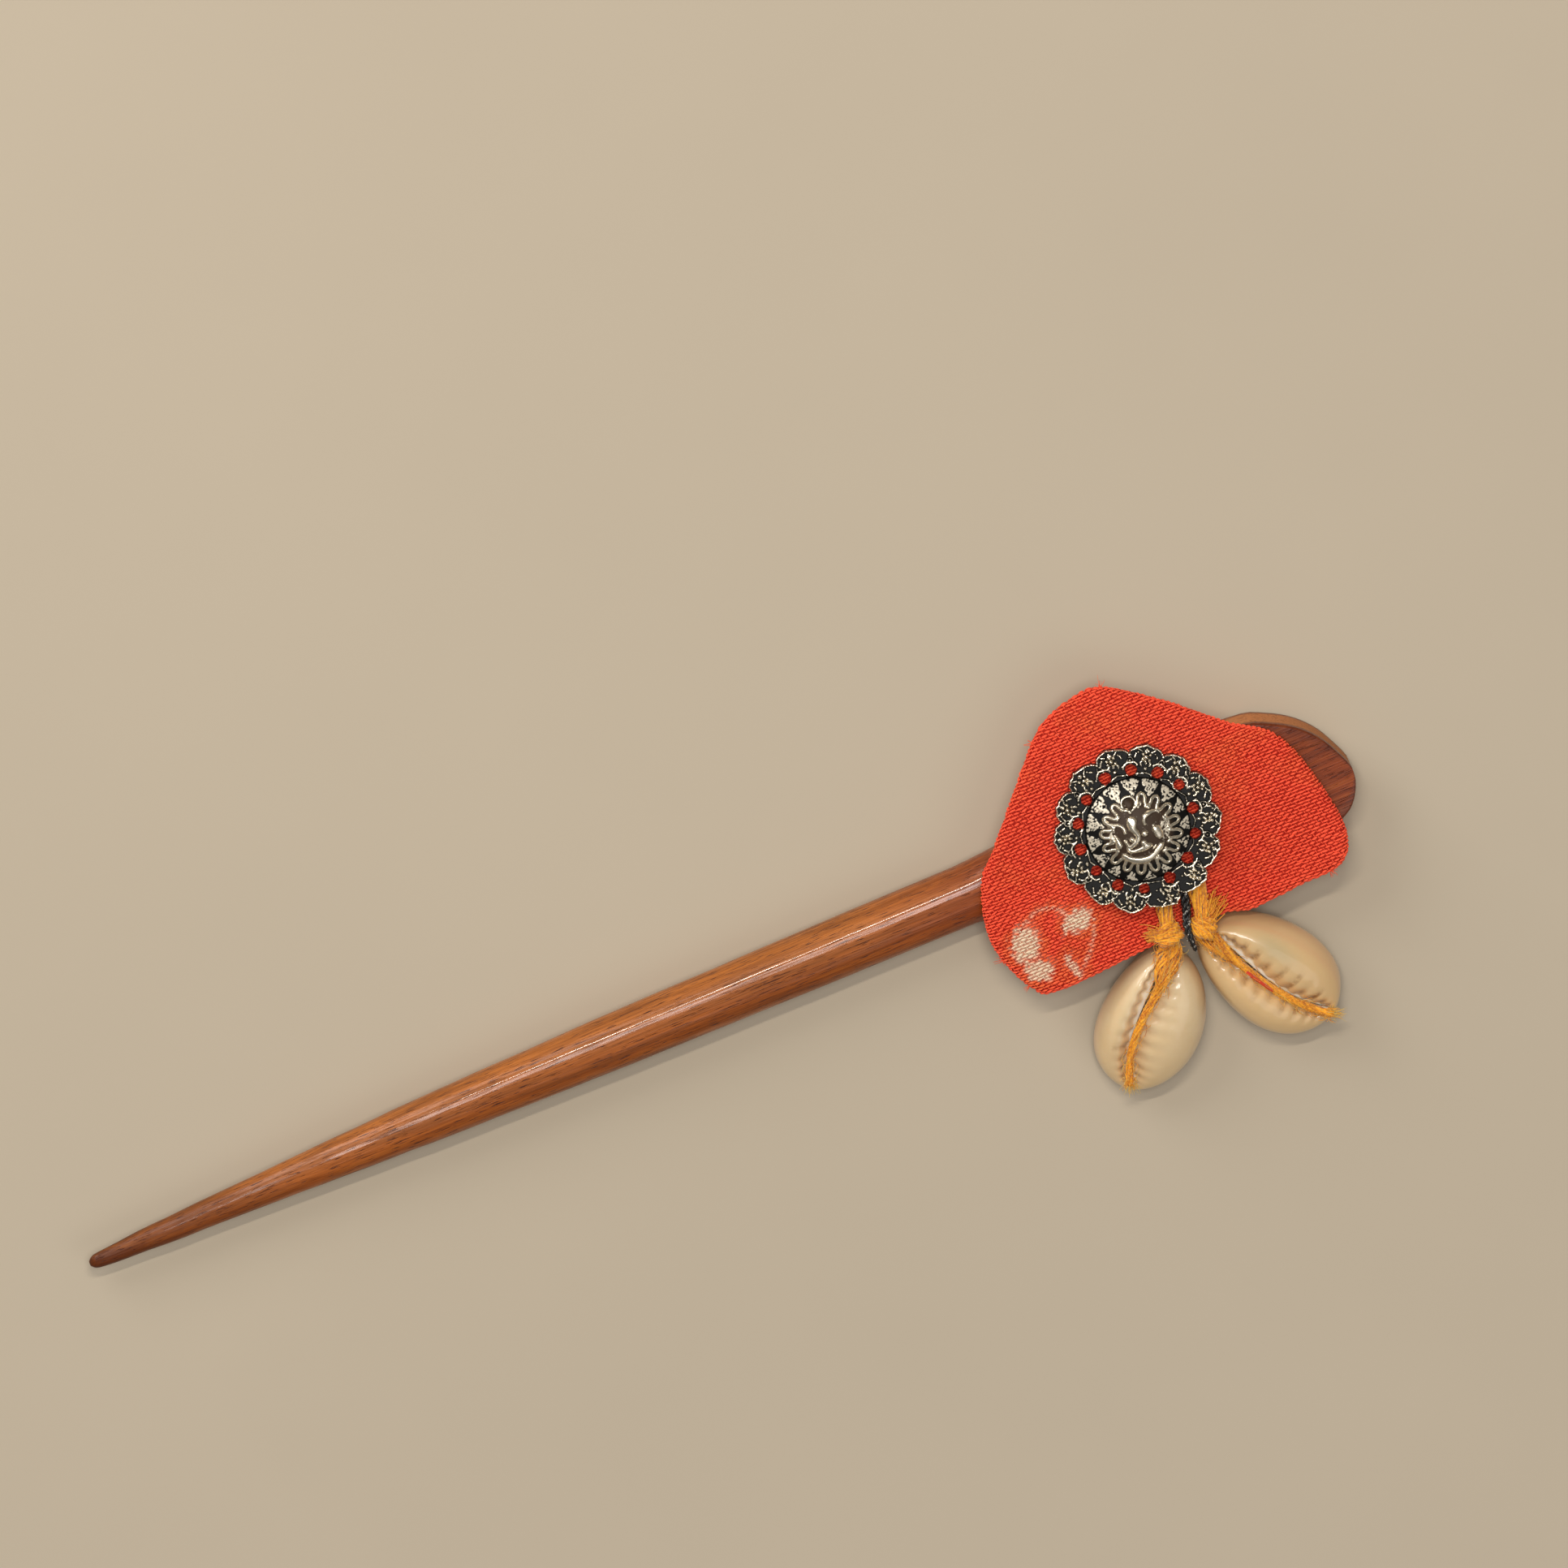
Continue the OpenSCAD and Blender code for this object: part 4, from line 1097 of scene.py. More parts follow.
def edge_distance(points, outline):
    """Distance inside an outline and the direction inwards, for flat points."""
    a = outline
    b = np.roll(outline, -1, axis=0)
    best = np.full(len(points), 1e9)
    foot = np.zeros((len(points), 2))
    for start in range(0, len(points), 4000):
        p = points[start:start + 4000, None]
        ab = (b - a)[None]
        t = np.clip(((p - a) * ab).sum(-1) / (ab * ab).sum(-1), 0, 1)
        near = a + t[..., None] * ab
        d = np.linalg.norm(p - near, axis=-1)
        k = d.argmin(axis=1)
        rows = np.arange(len(k))
        best[start:start + 4000] = d[rows, k]
        foot[start:start + 4000] = near[rows, k]
    x, y = points[:, 0:1], points[:, 1:2]
    ax, ay, bx, by = a[:, 0], a[:, 1], b[:, 0], b[:, 1]
    crossing = ((ay > y) != (by > y)) & (x < (bx - ax) * (y - ay) / (by - ay + 1e-15) + ax)
    inside = crossing.sum(axis=1) % 2 == 1
    toward = unit((points - foot) * np.where(inside, 1, -1)[:, None])
    return np.where(inside, best, -best), toward


class ClothShape:
    """Surface of the cloth patch, whose edges roll over from the front to the back."""

    def __init__(self, settings, layout):
        self.look, self.layout, self.stick = settings.cloth, layout, settings.stick
        self.radius = self.look.cloth_t / 2
        # What a rolled edge takes up beyond the outline
        self.extra = (math.pi / 2 - 1) * self.radius

    def droop(self, x, y):
        """How far the cloth sinks where it reaches past the wood."""
        w, middle = head_shape(self.stick, x)
        past = np.abs(y - middle) - w / 2
        return self.look.cloth_droop * np.clip(
            np.maximum(0, past) / (self.look.cloth_w / 3), 0, 1.2) ** 2

    def surface(self, flat, front, lift=0.0):
        """Places on the cloth of points of the unrolled ply, and the share that is rolled."""
        inside, toward = edge_distance(flat, self.layout.outline)
        run = inside + self.extra
        turn = np.clip(run / self.radius, 0, math.pi / 2)
        rolled = turn < math.pi / 2
        # The two plies meet in a shallow groove
        seam = SEAM_DEPTH * np.exp(-(turn / 0.2) ** 2)
        reach = np.where(rolled, self.radius * (1 - np.cos(turn)) + seam, inside)
        spot = flat + toward * (reach - inside)[:, None]
        # The plies lie closer together away from the edge, which is puckered
        edge = smooth_step(3.2 * MM, 1.2 * MM, inside)
        half = self.radius * mix(2 * FACE - 1, 1, edge)
        x, y = spot[:, 0], spot[:, 1]
        soft = SOFT_WAVE * ripple(x, y, 9 * MM, 11) * (1 - edge)
        pucker = PUCKER * ripple(x, y, 4 * MM, 12) * edge
        rise = np.where(rolled, self.radius * np.sin(turn), half)
        z = (self.layout.cloth_z + self.radius - self.droop(x, y)
             + np.where(front, 1, -1) * (rise + lift) + np.where(front, soft, 0.3 * soft)
             + pucker)
        spot = spot - toward * (lift * np.cos(turn) * rolled)[:, None]
        return np.stack([spot[:, 0], spot[:, 1] + self.layout.axis_y, z], -1)


def print_mask(x, y):
    """Strength of the faded print at places from the cloth's middle, in millimetres."""
    rough = 0.26 * ripple(x, y, 1.3, 21) + 0.16 * ripple(x, y, 0.6, 23)
    total = np.zeros(x.shape)
    for along, across, half_l, half_w, turn, strength in PRINT_SPOTS:
        c, s = math.cos(math.radians(turn)), math.sin(math.radians(turn))
        u = ((x - along) * c + (y - across) * s) / half_l
        v = ((y - across) * c - (x - along) * s) / half_w
        total = np.maximum(total, strength * smooth_step(1.3, 0.85, np.hypot(u, v) + rough))
    for row in PRINT_DOTS:
        for along, across in open_curve(row, 2):
            near = np.hypot(x - along, y - across) + 0.5 * rough
            total = np.maximum(total, 0.5 * smooth_step(0.45, 0.1, near))
    return total


def halo_mask(x, y):
    """Faded thread around the print."""
    near = np.full(x.shape, 1e9)
    for along, across, half_l, half_w, _, _ in PRINT_SPOTS:
        near = np.minimum(near, np.hypot(x - along, y - across) - max(half_l, half_w))
    for row in PRINT_DOTS:
        for along, across in row:
            near = np.minimum(near, np.hypot(x - along, y - across))
    return 0.7 * smooth_step(1.6, 0.2, near + 0.4 * ripple(x, y, 2.5, 22))


def bar_points(centres, half_w, half_h, sides):
    """Points of short closed bars. Centres holds a row of places for each bar."""
    side, up = side_and_up(centres, 1)
    turns = ring_turns(sides)
    return (centres[:, :, None]
            + half_w[..., None, None] * np.cos(turns)[:, None] * side[:, :, None]
            + half_h[..., None, None] * np.sin(turns)[:, None] * up[:, :, None])


def print_on(piece, layout, strength):
    """Keeps the print and its halo for each point of a piece of cloth."""
    x, y, z = ((points_of(piece) - (layout.cloth_x, layout.cloth_y + layout.axis_y, 0)) / MM).T
    front = z > (layout.cloth_z + layout.cloth_front) / 2 / MM
    store(piece, "print", strength * front * print_mask(x, y))
    store(piece, "halo", front * halo_mask(x, y))


def weave(name, shape, layout, front, kind, seed):
    """Threads of one ply that lie on top, as short bars in rows, along a row or across it."""
    look = shape.look
    rings, sides, half_l, heading, lift, thread_w, thread_h, tone = THREADS[kind]
    outwards = 1 if front else -1
    rng = np.random.default_rng(seed)
    low = layout.outline.min(axis=0) - 2 * MM
    high = layout.outline.max(axis=0) + 2 * MM
    starts = []
    for k, y in enumerate(np.arange(low[1], high[1], look.row_pitch)):
        shift = (0.5 * (k % 2) + (0.5 if kind == "cross" else 0)) * look.stitch_pitch
        xs = np.arange(low[0] + shift, high[0], look.stitch_pitch)
        starts.append(np.stack([xs, np.full(len(xs), y)], -1))
    middle = np.vstack(starts)
    middle[:, 1] += 0.35 * MM * ripple(middle[:, 0], middle[:, 1], 26 * MM, 31)
    middle += rng.normal(0, 0.035 * MM, middle.shape)
    inside, _ = edge_distance(middle, layout.outline)
    keep = inside > -shape.extra + 0.12 * MM
    if not front:
        w, centre = head_shape(shape.stick, middle[:, 0])
        keep &= np.abs(middle[:, 1] - centre) > w / 2 - 1.2 * MM
    middle = middle[keep]
    n = len(middle)
    reach = half_l * MM * rng.uniform(0.86, 1.12, n)
    turn = rng.normal(0, 0.07, n) + heading
    f = np.linspace(-1, 1, rings)
    flat = (middle[:, None] + (reach[:, None] * f)[..., None]
            * np.stack([np.cos(turn), np.sin(turn)], -1)[:, None])
    # A thread thins and dips towards its two ends
    full = np.interp(np.abs(f), (0, 0.34, 1), (1, 0.96, 0.45))
    centres = shape.surface(flat.reshape(-1, 2), front).reshape(n, rings, 3)
    centres[..., 2] += outwards * (lift * MM - 0.2 * MM * (1 - full))
    half_w = thread_w * MM * full * rng.uniform(0.85, 1.12, n)[:, None]
    half_h = thread_h * MM * full * np.ones((n, 1))
    points = bar_points(centres, half_w, half_h, sides)
    step = rings * sides
    faces = [face for k in range(n) for face in tube_faces(k * step, rings, sides)]
    piece = mesh_piece(name, points, faces)
    # Painted shade: threads are deeper red down their flanks and where they dip, with a random tint
    # for each thread
    flank = outwards * np.sin(ring_turns(sides))
    tint = (rng.normal(0, 0.16, n)[:, None, None] + tone
            + 0.6 * (np.maximum(flank, -0.4) - 0.8)[None, None, :]
            - 0.7 * (1 - full)[None, :, None])
    store(piece, "tint", tint)
    print_on(piece, layout, 0.9)
    smooth_faces(piece, 80)
    return piece


def make_cloth(settings, layout):
    """Cloth patch: two plies of coarse cotton with rolled edges, its threads and its frays."""
    look = settings.cloth
    shape = ClothShape(settings, layout)
    outline = layout.outline
    centre = np.array((layout.cloth_x, layout.cloth_y))
    tangent = unit(np.roll(outline, -1, 0) - np.roll(outline, 1, 0))
    away = np.stack([tangent[:, 1], -tangent[:, 0]], -1)
    if ((outline - centre) * away).sum() < 0:
        away = -away
    wide = outline + away * (shape.extra - 0.002 * MM)
    shares = np.concatenate([np.linspace(0.06, 0.84, 14), np.linspace(0.865, 1, 21)])
    front, back = ([shape.surface(mix(centre, wide, f), upper, -PLY_DEPTH) for f in shares]
                   for upper in (True, False))
    rings = np.array(front + back[::-1][1:])
    piece = skin_cylinder("cloth_patch_plies", rings[::-1])[0]
    # The ground of the plies, seen between the threads, is darkened as painted shade
    store(piece, "tint", -0.3)
    print_on(piece, layout, 0.4)
    outward(piece)
    smooth_faces(piece, 80)
    # The ground and the threads' flanks take the deep red as painted shade
    deep, red = Vector(look.deep), Vector(look.red)
    ground = cloth_material(look, "cloth_ground", mix(deep, red, 0.5), deep)
    thread = cloth_material(look, "cloth_thread", look.red, mix(deep, red, 0.62))
    dress(piece, ground, "red_cloth", "cloth_patch")
    for ply, kind, seed in (("front", "row", 42), ("front", "cross", 43), ("back", "row", 40),
                            ("back", "cross", 41)):
        part = weave("{}_{}_threads".format(ply, kind), shape, layout, ply == "front", kind, seed)
        dress(part, thread, "red_cloth")
    rng = np.random.default_rng(49)
    loose = []
    for along, across in FRAYS:
        place_at = centre + np.array((along, across)) * MM
        k = np.hypot(*(wide - place_at).T).argmin()
        root = shape.surface(wide[k:k + 1] - 0.4 * MM * away[k], True)[0]
        root[1] -= layout.axis_y
        tip = root + 1.1 * MM * np.array((*away[k], 0.1))
        loose += tuft_strands(root, tip, 7, 0.05 * MM, 0.35, rng)
    frays = strand_piece("cloth_frays", loose, 5, 50, layout)
    store(frays, "print", 0)
    store(frays, "halo", 0.4)
    dress(frays, thread, "red_cloth")
    area = abs(0.5 * np.sum(wide[:, 0] * np.roll(wide[:, 1], -1)
                            - wide[:, 1] * np.roll(wide[:, 0], -1)))


def speckle(shape, cells, rng):
    """Uneven values from 0 to 1 that change over a few cells of a net."""
    coarse = rng.random((int(shape[0] / cells) + 2, int(shape[1] / cells) + 2))
    i, j = np.arange(shape[0]) / cells, np.arange(shape[1]) / cells
    a, b = i.astype(int), j.astype(int)
    f, g = (i - a)[:, None], (j - b)[None]
    return mix(mix(coarse[a][:, b], coarse[a][:, b + 1], g),
               mix(coarse[a + 1][:, b], coarse[a + 1][:, b + 1], g), f)


class CastFront:
    """Square net of the medallion's front: its edges, its holes and its relief."""

    def __init__(self, look, R):
        self.look, self.R, self.dome_r = look, R, DOME_SHARE * R
        self.curve = (self.dome_r ** 2 + look.dome_h ** 2) / (2 * look.dome_h)
        half = int(1.02 * R / NET_STEP)
        self.line = np.arange(-half, half + 1) * NET_STEP
        self.x, self.y = np.meshgrid(self.line, self.line, indexing="ij")
        self.r = np.hypot(self.x, self.y)
        self.rng = np.random.default_rng(5)
        self.hole_at = FIRST_HOLE + 360 / look.scallops * np.arange(look.scallops) + [
            row[0] for row in HOLES]
        following = np.append(self.hole_at[1:], self.hole_at[0] + 360)
        self.middle = (self.hole_at + following) / 2

    def bar(self, a, b, lift):
        """Round bar between two points, whose third value is their radius."""
        reach = max(a[2], b[2])
        i = np.searchsorted(self.line, (min(a[0], b[0]) - reach, max(a[0], b[0]) + reach))
        j = np.searchsorted(self.line, (min(a[1], b[1]) - reach, max(a[1], b[1]) + reach))
        part = slice(*i), slice(*j)
        px, py = self.x[part] - a[0], self.y[part] - a[1]
        dx, dy = b[0] - a[0], b[1] - a[1]
        t = np.clip((px * dx + py * dy) / (dx * dx + dy * dy + 1e-18), 0, 1)
        r = mix(a[2], b[2], t)
        near = np.hypot(px - t * dx, py - t * dy) / r
        bump = lift * r * np.sqrt(np.maximum(0, 1 - near ** 2))
        self.height[part] = np.maximum(self.height[part], bump)

    def stroke(self, points, lift, steps=3):
        """Round bar along a smooth line, or a bead where there is one point."""
        run = list(open_curve(points, steps) if len(points) > 2 else points)
        for a, b in zip(run, run[1:] or run):
            self.bar(a, b, lift)

    def spots(self, degrees):
        """Maker of points from shares outwards and aside at an angle, set a little unevenly."""
        turn = math.radians(degrees)

        def spot(q, t, size):
            q, t = np.array((q, t)) + self.rng.normal(0, 0.0035, 2)
            return (self.R * (q * math.cos(turn) - t * math.sin(turn)),
                    self.R * (q * math.sin(turn) + t * math.cos(turn)),
                    self.R * size * self.rng.uniform(0.86, 1.14))

        return spot

    def cut_lines(self):
        """Distance outside the metal, from the scalloped edge and the pierced holes."""
        n = self.look.scallops
        valleys = 0.88 + self.rng.uniform(-0.01, 0.01, n)
        peaks = self.rng.uniform(0.982, 1, n)
        keys = np.stack([self.hole_at, self.middle + SCALLOP_TIPS], 1).ravel()
        keys = np.append(keys, keys[0] + 360)
        values = np.stack([valleys, peaks], 1).ravel()
        values = np.append(values, values[0])
        theta = (np.degrees(np.arctan2(self.y, self.x)) - keys[0]) % 360 + keys[0]
        k = np.clip(np.searchsorted(keys, theta, side="right") - 1, 0, 2 * n - 1)
        f = (theta - keys[k]) / (keys[k + 1] - keys[k])
        rising = k % 2 == 0
        profile = steady_curve(SCALLOP_EDGE, 6)
        rise = np.interp(np.where(rising, f, 1 - f), profile[:, 0], profile[:, 1])
        low, high = np.where(rising, (values[k], values[k + 1]), (values[k + 1], values[k]))
        lumps = 0.007 * ripple(self.x, self.y, 1.1 * MM, 12)
        outside = self.r - self.R * np.minimum(low + (high - low) * rise + lumps, 1.002)
        slope = np.hypot(*np.gradient(outside, NET_STEP))
        self.outside = outside / np.clip(slope, 1, 1.6)
        holes = np.full(self.r.shape, 1e9)
        for degrees, (_, out, size) in zip(self.hole_at, HOLES):
            turn = math.radians(degrees)
            u = self.x - out * self.R * math.cos(turn)
            v = self.y - out * self.R * math.sin(turn)
            angle = np.arctan2(v, u)
            wobble = (1 + 0.035 * np.cos(3 * angle + self.rng.uniform(0, 6))
                      + 0.025 * np.cos(4 * angle + self.rng.uniform(0, 6)))
            holes = np.minimum(holes, np.hypot(u, v) - self.look.pierced_d / 2 * size * wobble)
        return np.maximum(self.outside, -holes)

    def flange(self):
        """Raised border, lines and beads outside the dome."""
        border = 0.0115 * self.R
        rim = np.sqrt(np.maximum(0, 1 - ((-self.outside - border) / border) ** 2))
        self.height = RIM_LIFT * rim
        for middle, tip in zip(self.middle, SCALLOP_TIPS):
            spot = self.spots(middle + 0.6 * tip)
            for mirror in (1, -1):
                for line in SCALLOP_LINES:
                    self.stroke([spot(q, mirror * t, 1.05 * size) for q, t, size in line],
                                LINE_LIFT)
                for q, t, size in SCALLOP_BEADS:
                    self.stroke([spot(q, mirror * t, 1.1 * size)], BEAD_LIFT)
            # Six beads round the one in the scallop's middle
            for k in range(6):
                a = math.pi / 3 * (k + self.rng.uniform(-0.15, 0.15))
                bead = spot(0.845 + 0.052 * math.cos(a), 0.052 * math.sin(a), 0.021)
                self.stroke([bead], BEAD_LIFT)
        for degrees, (_, out, size) in zip(self.hole_at, HOLES):
            # An oval with a bead outside each hole, and two arcs round the hole
            spot = self.spots(degrees)
            oval = [spot(0.805 + 0.043 * math.cos(a), 0.034 * math.sin(a), 0.0095)
                    for a in np.linspace(0, 2 * math.pi, 13)]
            self.stroke(oval, LINE_LIFT, 1)
            self.stroke([spot(0.805, 0, 0.013)], BEAD_LIFT)
            hole = self.look.pierced_d / 2 * size / self.R
            for off, first, last, line in ((0.03, -70, 50, 0.013), (0.016, 120, 220, 0.01)):
                turn = np.radians(np.linspace(first, last, 9) + self.rng.uniform(-25, 25))
                arc = [spot(out + (hole + off) * math.cos(a), (hole + off) * math.sin(a), line)
                       for a in turn]
                self.stroke(arc, LINE_LIFT, 1)
        raised = self.height * smooth_step(0.99 * self.dome_r, 1.03 * self.dome_r, self.r)
        self.relief = smooth_step(0.07 * MM, 0.2 * MM, raised)
        outside_dome = self.r > 0.99 * self.dome_r
        sunk = GROUND_DEPTH * (1 - np.clip(raised / (0.12 * MM), 0, 1)) * outside_dome
        return raised - sunk

    def dome(self):
        """Relief of the dome: stippled rays, petals, a ball in its ring and the figure."""
        size = self.dome_r
        self.height = np.zeros(self.r.shape)
        grains, rough = (speckle(self.r.shape, cells, self.rng) for cells in (1.8, 3.3))
        east, north = self.x / size - PETAL_RING[0], self.y / size - PETAL_RING[1]
        rays = np.zeros(self.r.shape)
        for i in range(self.look.petals):
            turn = math.radians(FIRST_PETAL + (i + 0.5) * 360 / self.look.petals)
            q = east * math.cos(turn) + north * math.sin(turn)
            t = np.abs(north * math.cos(turn) - east * math.sin(turn))
            half = 0.6 * (q - 0.66) - 0.015 + 0.05 * (rough - 0.5)
            rays = np.maximum(rays, smooth_step(0, 0.02, np.minimum(half, 0.185) - t))
            # The bead in its ring takes the first petal's place
            if i == 0:
                continue
            turn = math.radians(FIRST_PETAL + i * 360 / self.look.petals)
            grown = self.rng.uniform(0.98, 1.14)
            line = []
            for out, aside in PETAL[::-1] + [(out, -aside) for out, aside in PETAL[1:]]:
                q, t = PETAL_RING[2] + grown * out, grown * aside
                line.append((size * (PETAL_RING[0] + q * math.cos(turn) - t * math.sin(turn)),
                             size * (PETAL_RING[1] + q * math.sin(turn) + t * math.cos(turn)),
                             0.03 * size))
            self.stroke(line, LINE_LIFT, 2)
        ball = size * np.array((*RING_BEAD[:2], 0))
        ring = [ball + size * np.array((0.135 * math.cos(a), 0.135 * math.sin(a), 0.02))
                for a in np.linspace(0, 2 * math.pi, 19)]
        self.stroke(ring, 1.2, 1)
        for line in FIGURE:
            self.stroke([(size * u, size * v, 1.08 * size * r) for u, v, r in line],
                        LINE_LIFT, 4)
        silver = self.height.copy()
        self.stroke([ball + (0, 0, RING_BEAD[2] * size)], 0.9)
        on_dome = smooth_step(0.995 * size, 0.965 * size, self.r)
        cap = 1.35 * self.look.relief_h
        raised = cap * np.tanh(self.height / cap) * on_dome
        # Stippled patches between the figure and the petals
        east, north = self.x / size, self.y / size
        for u, v, wide, high in PATCHES:
            near = np.hypot((east - u) / wide, (north - v) / high)
            rays = np.maximum(rays, 0.8 * smooth_step(1.1, 0.8, near))
        rays = rays * on_dome * (self.height < 0.03 * MM)
        edge = smooth_step(0.03 * MM, 0.12 * MM, silver) * on_dome
        stippled = rays * np.clip(2.2 * grains + 0.8 * rough - 0.8, 0, 1)
        self.stipple = rays
        worn = 0.34 * smooth_step(0.3, 0.8, rough) * (self.r < 0.6 * size)
        self.relief = np.maximum.reduce([self.relief, edge, stippled, worn])
        return raised + rays * (0.05 + 0.12 * grains) * MM

    def net_piece(self, name):
        """Open piece that is cut from a grid and raised by the relief."""
        distance = self.cut_lines()
        z = self.flange() + self.dome() + self.look.flange_t
        arch = self.look.dome_h - self.curve + np.sqrt(
            np.maximum(0, self.curve ** 2 - self.r ** 2))
        z = z + np.where(self.r < self.dome_r, arch, 0)
        n = len(self.line)
        bpy.ops.object.select_all(action="DESELECT")
        bpy.ops.mesh.primitive_grid_add(x_subdivisions=n - 1, y_subdivisions=n - 1,
                                        size=2 * self.line[-1], location=(0, 0, 0))
        piece = name_active(name)
        bpy.context.tool_settings.mesh_select_mode = (False, False, True)
        with edit_mode(piece):
            bpy.ops.mesh.select_all(action="DESELECT")
        # A cell is kept where one of its corners lies well inside the metal
        deep = distance < -0.3 * NET_STEP
        kept = deep[:-1, :-1] | deep[1:, :-1] | deep[:-1, 1:] | deep[1:, 1:]
        corner = np.empty(4 * len(piece.data.polygons), int)
        piece.data.loops.foreach_get("vertex_index", corner)
        middle = points_of(piece)[corner.reshape(-1, 4)].mean(axis=1)
        i, j = np.floor(middle[:, :2].T / NET_STEP).astype(int) + (n - 1) // 2
        piece.data.polygons.foreach_set("select", ~kept[i, j])
        with edit_mode(piece):
            bpy.ops.mesh.delete(type="FACE")
        # Points of a kept cell that also belong to a cell that is gone move onto the edge
        gone = np.zeros((n + 1, n + 1), bool)
        gone[1:-1, 1:-1] = ~kept
        gone[(0, -1), :] = gone[:, (0, -1)] = True
        shared = gone[:-1, :-1] | gone[1:, :-1] | gone[:-1, 1:] | gone[1:, 1:]
        slope = np.array(np.gradient(distance, NET_STEP))
        move = np.where(shared, distance, 0) / np.maximum((slope ** 2).sum(axis=0), 0.3)
        i, j = np.rint(points_of(piece)[:, :2].T / NET_STEP).astype(int) + (n - 1) // 2
        at = np.stack([self.x - move * slope[0], self.y - move * slope[1], z], -1)
        place(piece, at[i, j])
        store(piece, "relief", self.relief[i, j])
        store(piece, "dome", smooth_step(0.72, 0.58, self.r / self.dome_r)[i, j])
        store(piece, "stipple", self.stipple[i, j])
        return piece


def make_medallion(settings, layout):
    """Medallion: the cast front, walls down to the back, and a hollow under the dome."""
    look = settings.medallion
    front = CastFront(look, layout.coin_r)
    piece = front.net_piece("cast_medallion")
    # The back is pulled well clear of the front, to tell them apart, and then put in its place
    with edit_mode(piece):
        bpy.ops.mesh.select_all(action="SELECT")
        bpy.ops.mesh.extrude_region_move(TRANSFORM_OT_translate={"value": (0, 0, -10 * MM)})
    co = points_of(piece)
    lower = co[:, 2] < -4 * MM
    r = np.hypot(co[:, 0], co[:, 1])
    inner = front.curve - look.dome_wall
    arch = (look.flange_t + look.dome_h - front.curve
            + np.sqrt(np.maximum(0, inner ** 2 - r ** 2)))
    back = np.where(r < front.dome_r - look.dome_wall, np.maximum(arch, 0), 0)
    co[:, 2] = np.where(lower, back, co[:, 2])
    place(piece, co)
    outward(piece)
    smooth_faces(piece, 60)
    piece.data.transform(
        Matrix.Translation((layout.coin_at[0], layout.coin_at[1] + layout.axis_y,
                            layout.coin_at[2]))
        @ Matrix.Rotation(-layout.coin_tilt, 4, "X")
        @ Matrix.Rotation(math.radians(COIN_TURN), 4, "Z"))
    dress(piece, metal_material(look), "medallion", "medallion")


def make_cowries(settings, layout):
    """Two cowries: rings of wall around a toothed slit."""
    look = settings.shells
    grooves = 2 * (look.teeth + 2)
    around = GROOVE_POINTS * grooves
    steps = 4
    table = open_curve(SHELL_WALL, steps)[:-1]
    # Numbers of the wall's rows in the table, where 0 is the rim and 6 the lip of the slit
    level = np.arange(len(table)) / steps
    a = (np.arange(around) + 0.5) / around * 360
    turn = np.radians(a)
    groove = np.arange(around) // GROOVE_POINTS
    long_side = smooth_step(0.3, 0.42, np.abs(np.sin(turn)))
    wave = np.sin(turn * grooves)
    for side, shell, first, seed in (("left", layout.left, look.cream, 1),
                                     ("right", layout.right, look.sand, 2)):
        rng = np.random.default_rng(seed)
        tall = rng.uniform(0.6, 1.25, grooves)[groove]
        dark = rng.uniform(0.35, 1.2, grooves)[groove]
        far = rng.uniform(0, 1, grooves)[groove]
        near_lip = np.exp(-((level - 6.0) / 0.9) ** 2)
        outer = smooth_step(3.7, 5.8, level) * smooth_step(7.4, 6.2, level)
        rows = []
        for k, (way, up, inward, down, ledge) in enumerate(table):
            tooth = look.tooth_d * (0.4 + 0.6 * wave) * tall * long_side * near_lip[k]
            ridge = -0.085 * MM * wave * tall * long_side * outer[k]
            rows.append(shell.wall(a, way, up, inward, down, tooth, ridge, ledge))
        rows = np.array(rows)
        rings = shell.place(rows) + (0, layout.axis_y, 0)
        m = len(rows)
        bpy.ops.object.select_all(action="DESELECT")
        bpy.ops.mesh.primitive_torus_add(major_segments=around, minor_segments=m)
        piece = name_active(side + "_cowrie_shell")
        place(piece, rings.transpose(1, 0, 2).reshape(-1, 3))
        strong = np.zeros(around)
        for sign in (-1, 1):
            along, strength = np.array(STAINS[(side, sign)]).T
            strong = np.where(np.sign(np.sin(turn)) == sign,
                              np.interp(shell.along(a), along, strength), strong)
        reach = 4.1 + 1.1 * far[:, None]
        length_of = smooth_step(reach - 0.3, reach + 0.8, level[None]) * smooth_step(
            7.1, 6.3, level[None])
        between = smooth_step(0, 0.95, wave * long_side)
        store(piece, "stain", np.clip((between * strong * dark)[:, None] * length_of, 0, 1))
        store(piece, "far", np.repeat(0.6 * smooth_step(0.2, -1, np.cos(turn)), m))
        margin = np.exp(-((level[None] - 1.2) / 0.8) ** 2) * np.full((around, 1), 0.6)
        # On the right shell a second band a little inside the margin is painted shade along a
        # rolled edge
        if side == "right":
            margin = margin + 0.45 * np.exp(-((level[None] - 2.5) / 0.4) ** 2) * smooth_step(
                0.1, 0.5, np.sin(turn))[:, None]
        store(piece, "margin", np.clip(margin, 0, 1))
        at = rows[..., :2].transpose(1, 0, 2)
        cloud = np.exp(-((at[..., 0] / shell.l - 0.4) / 0.17) ** 2
                       - ((at[..., 1] / shell.w - 0.3) / 0.1) ** 2)
        store(piece, "cloud", (0.45 if side == "right" else 0) * cloud)
        store(piece, "inner", np.tile(smooth_step(6.3, 7.2, level), around))
        outward(piece)
        subdivide_smooth(piece)
        smooth_faces(piece, 80)
        dress(piece, shell_material(look, piece.name + "_gloss", first), "shell",
              side + "_cowrie")


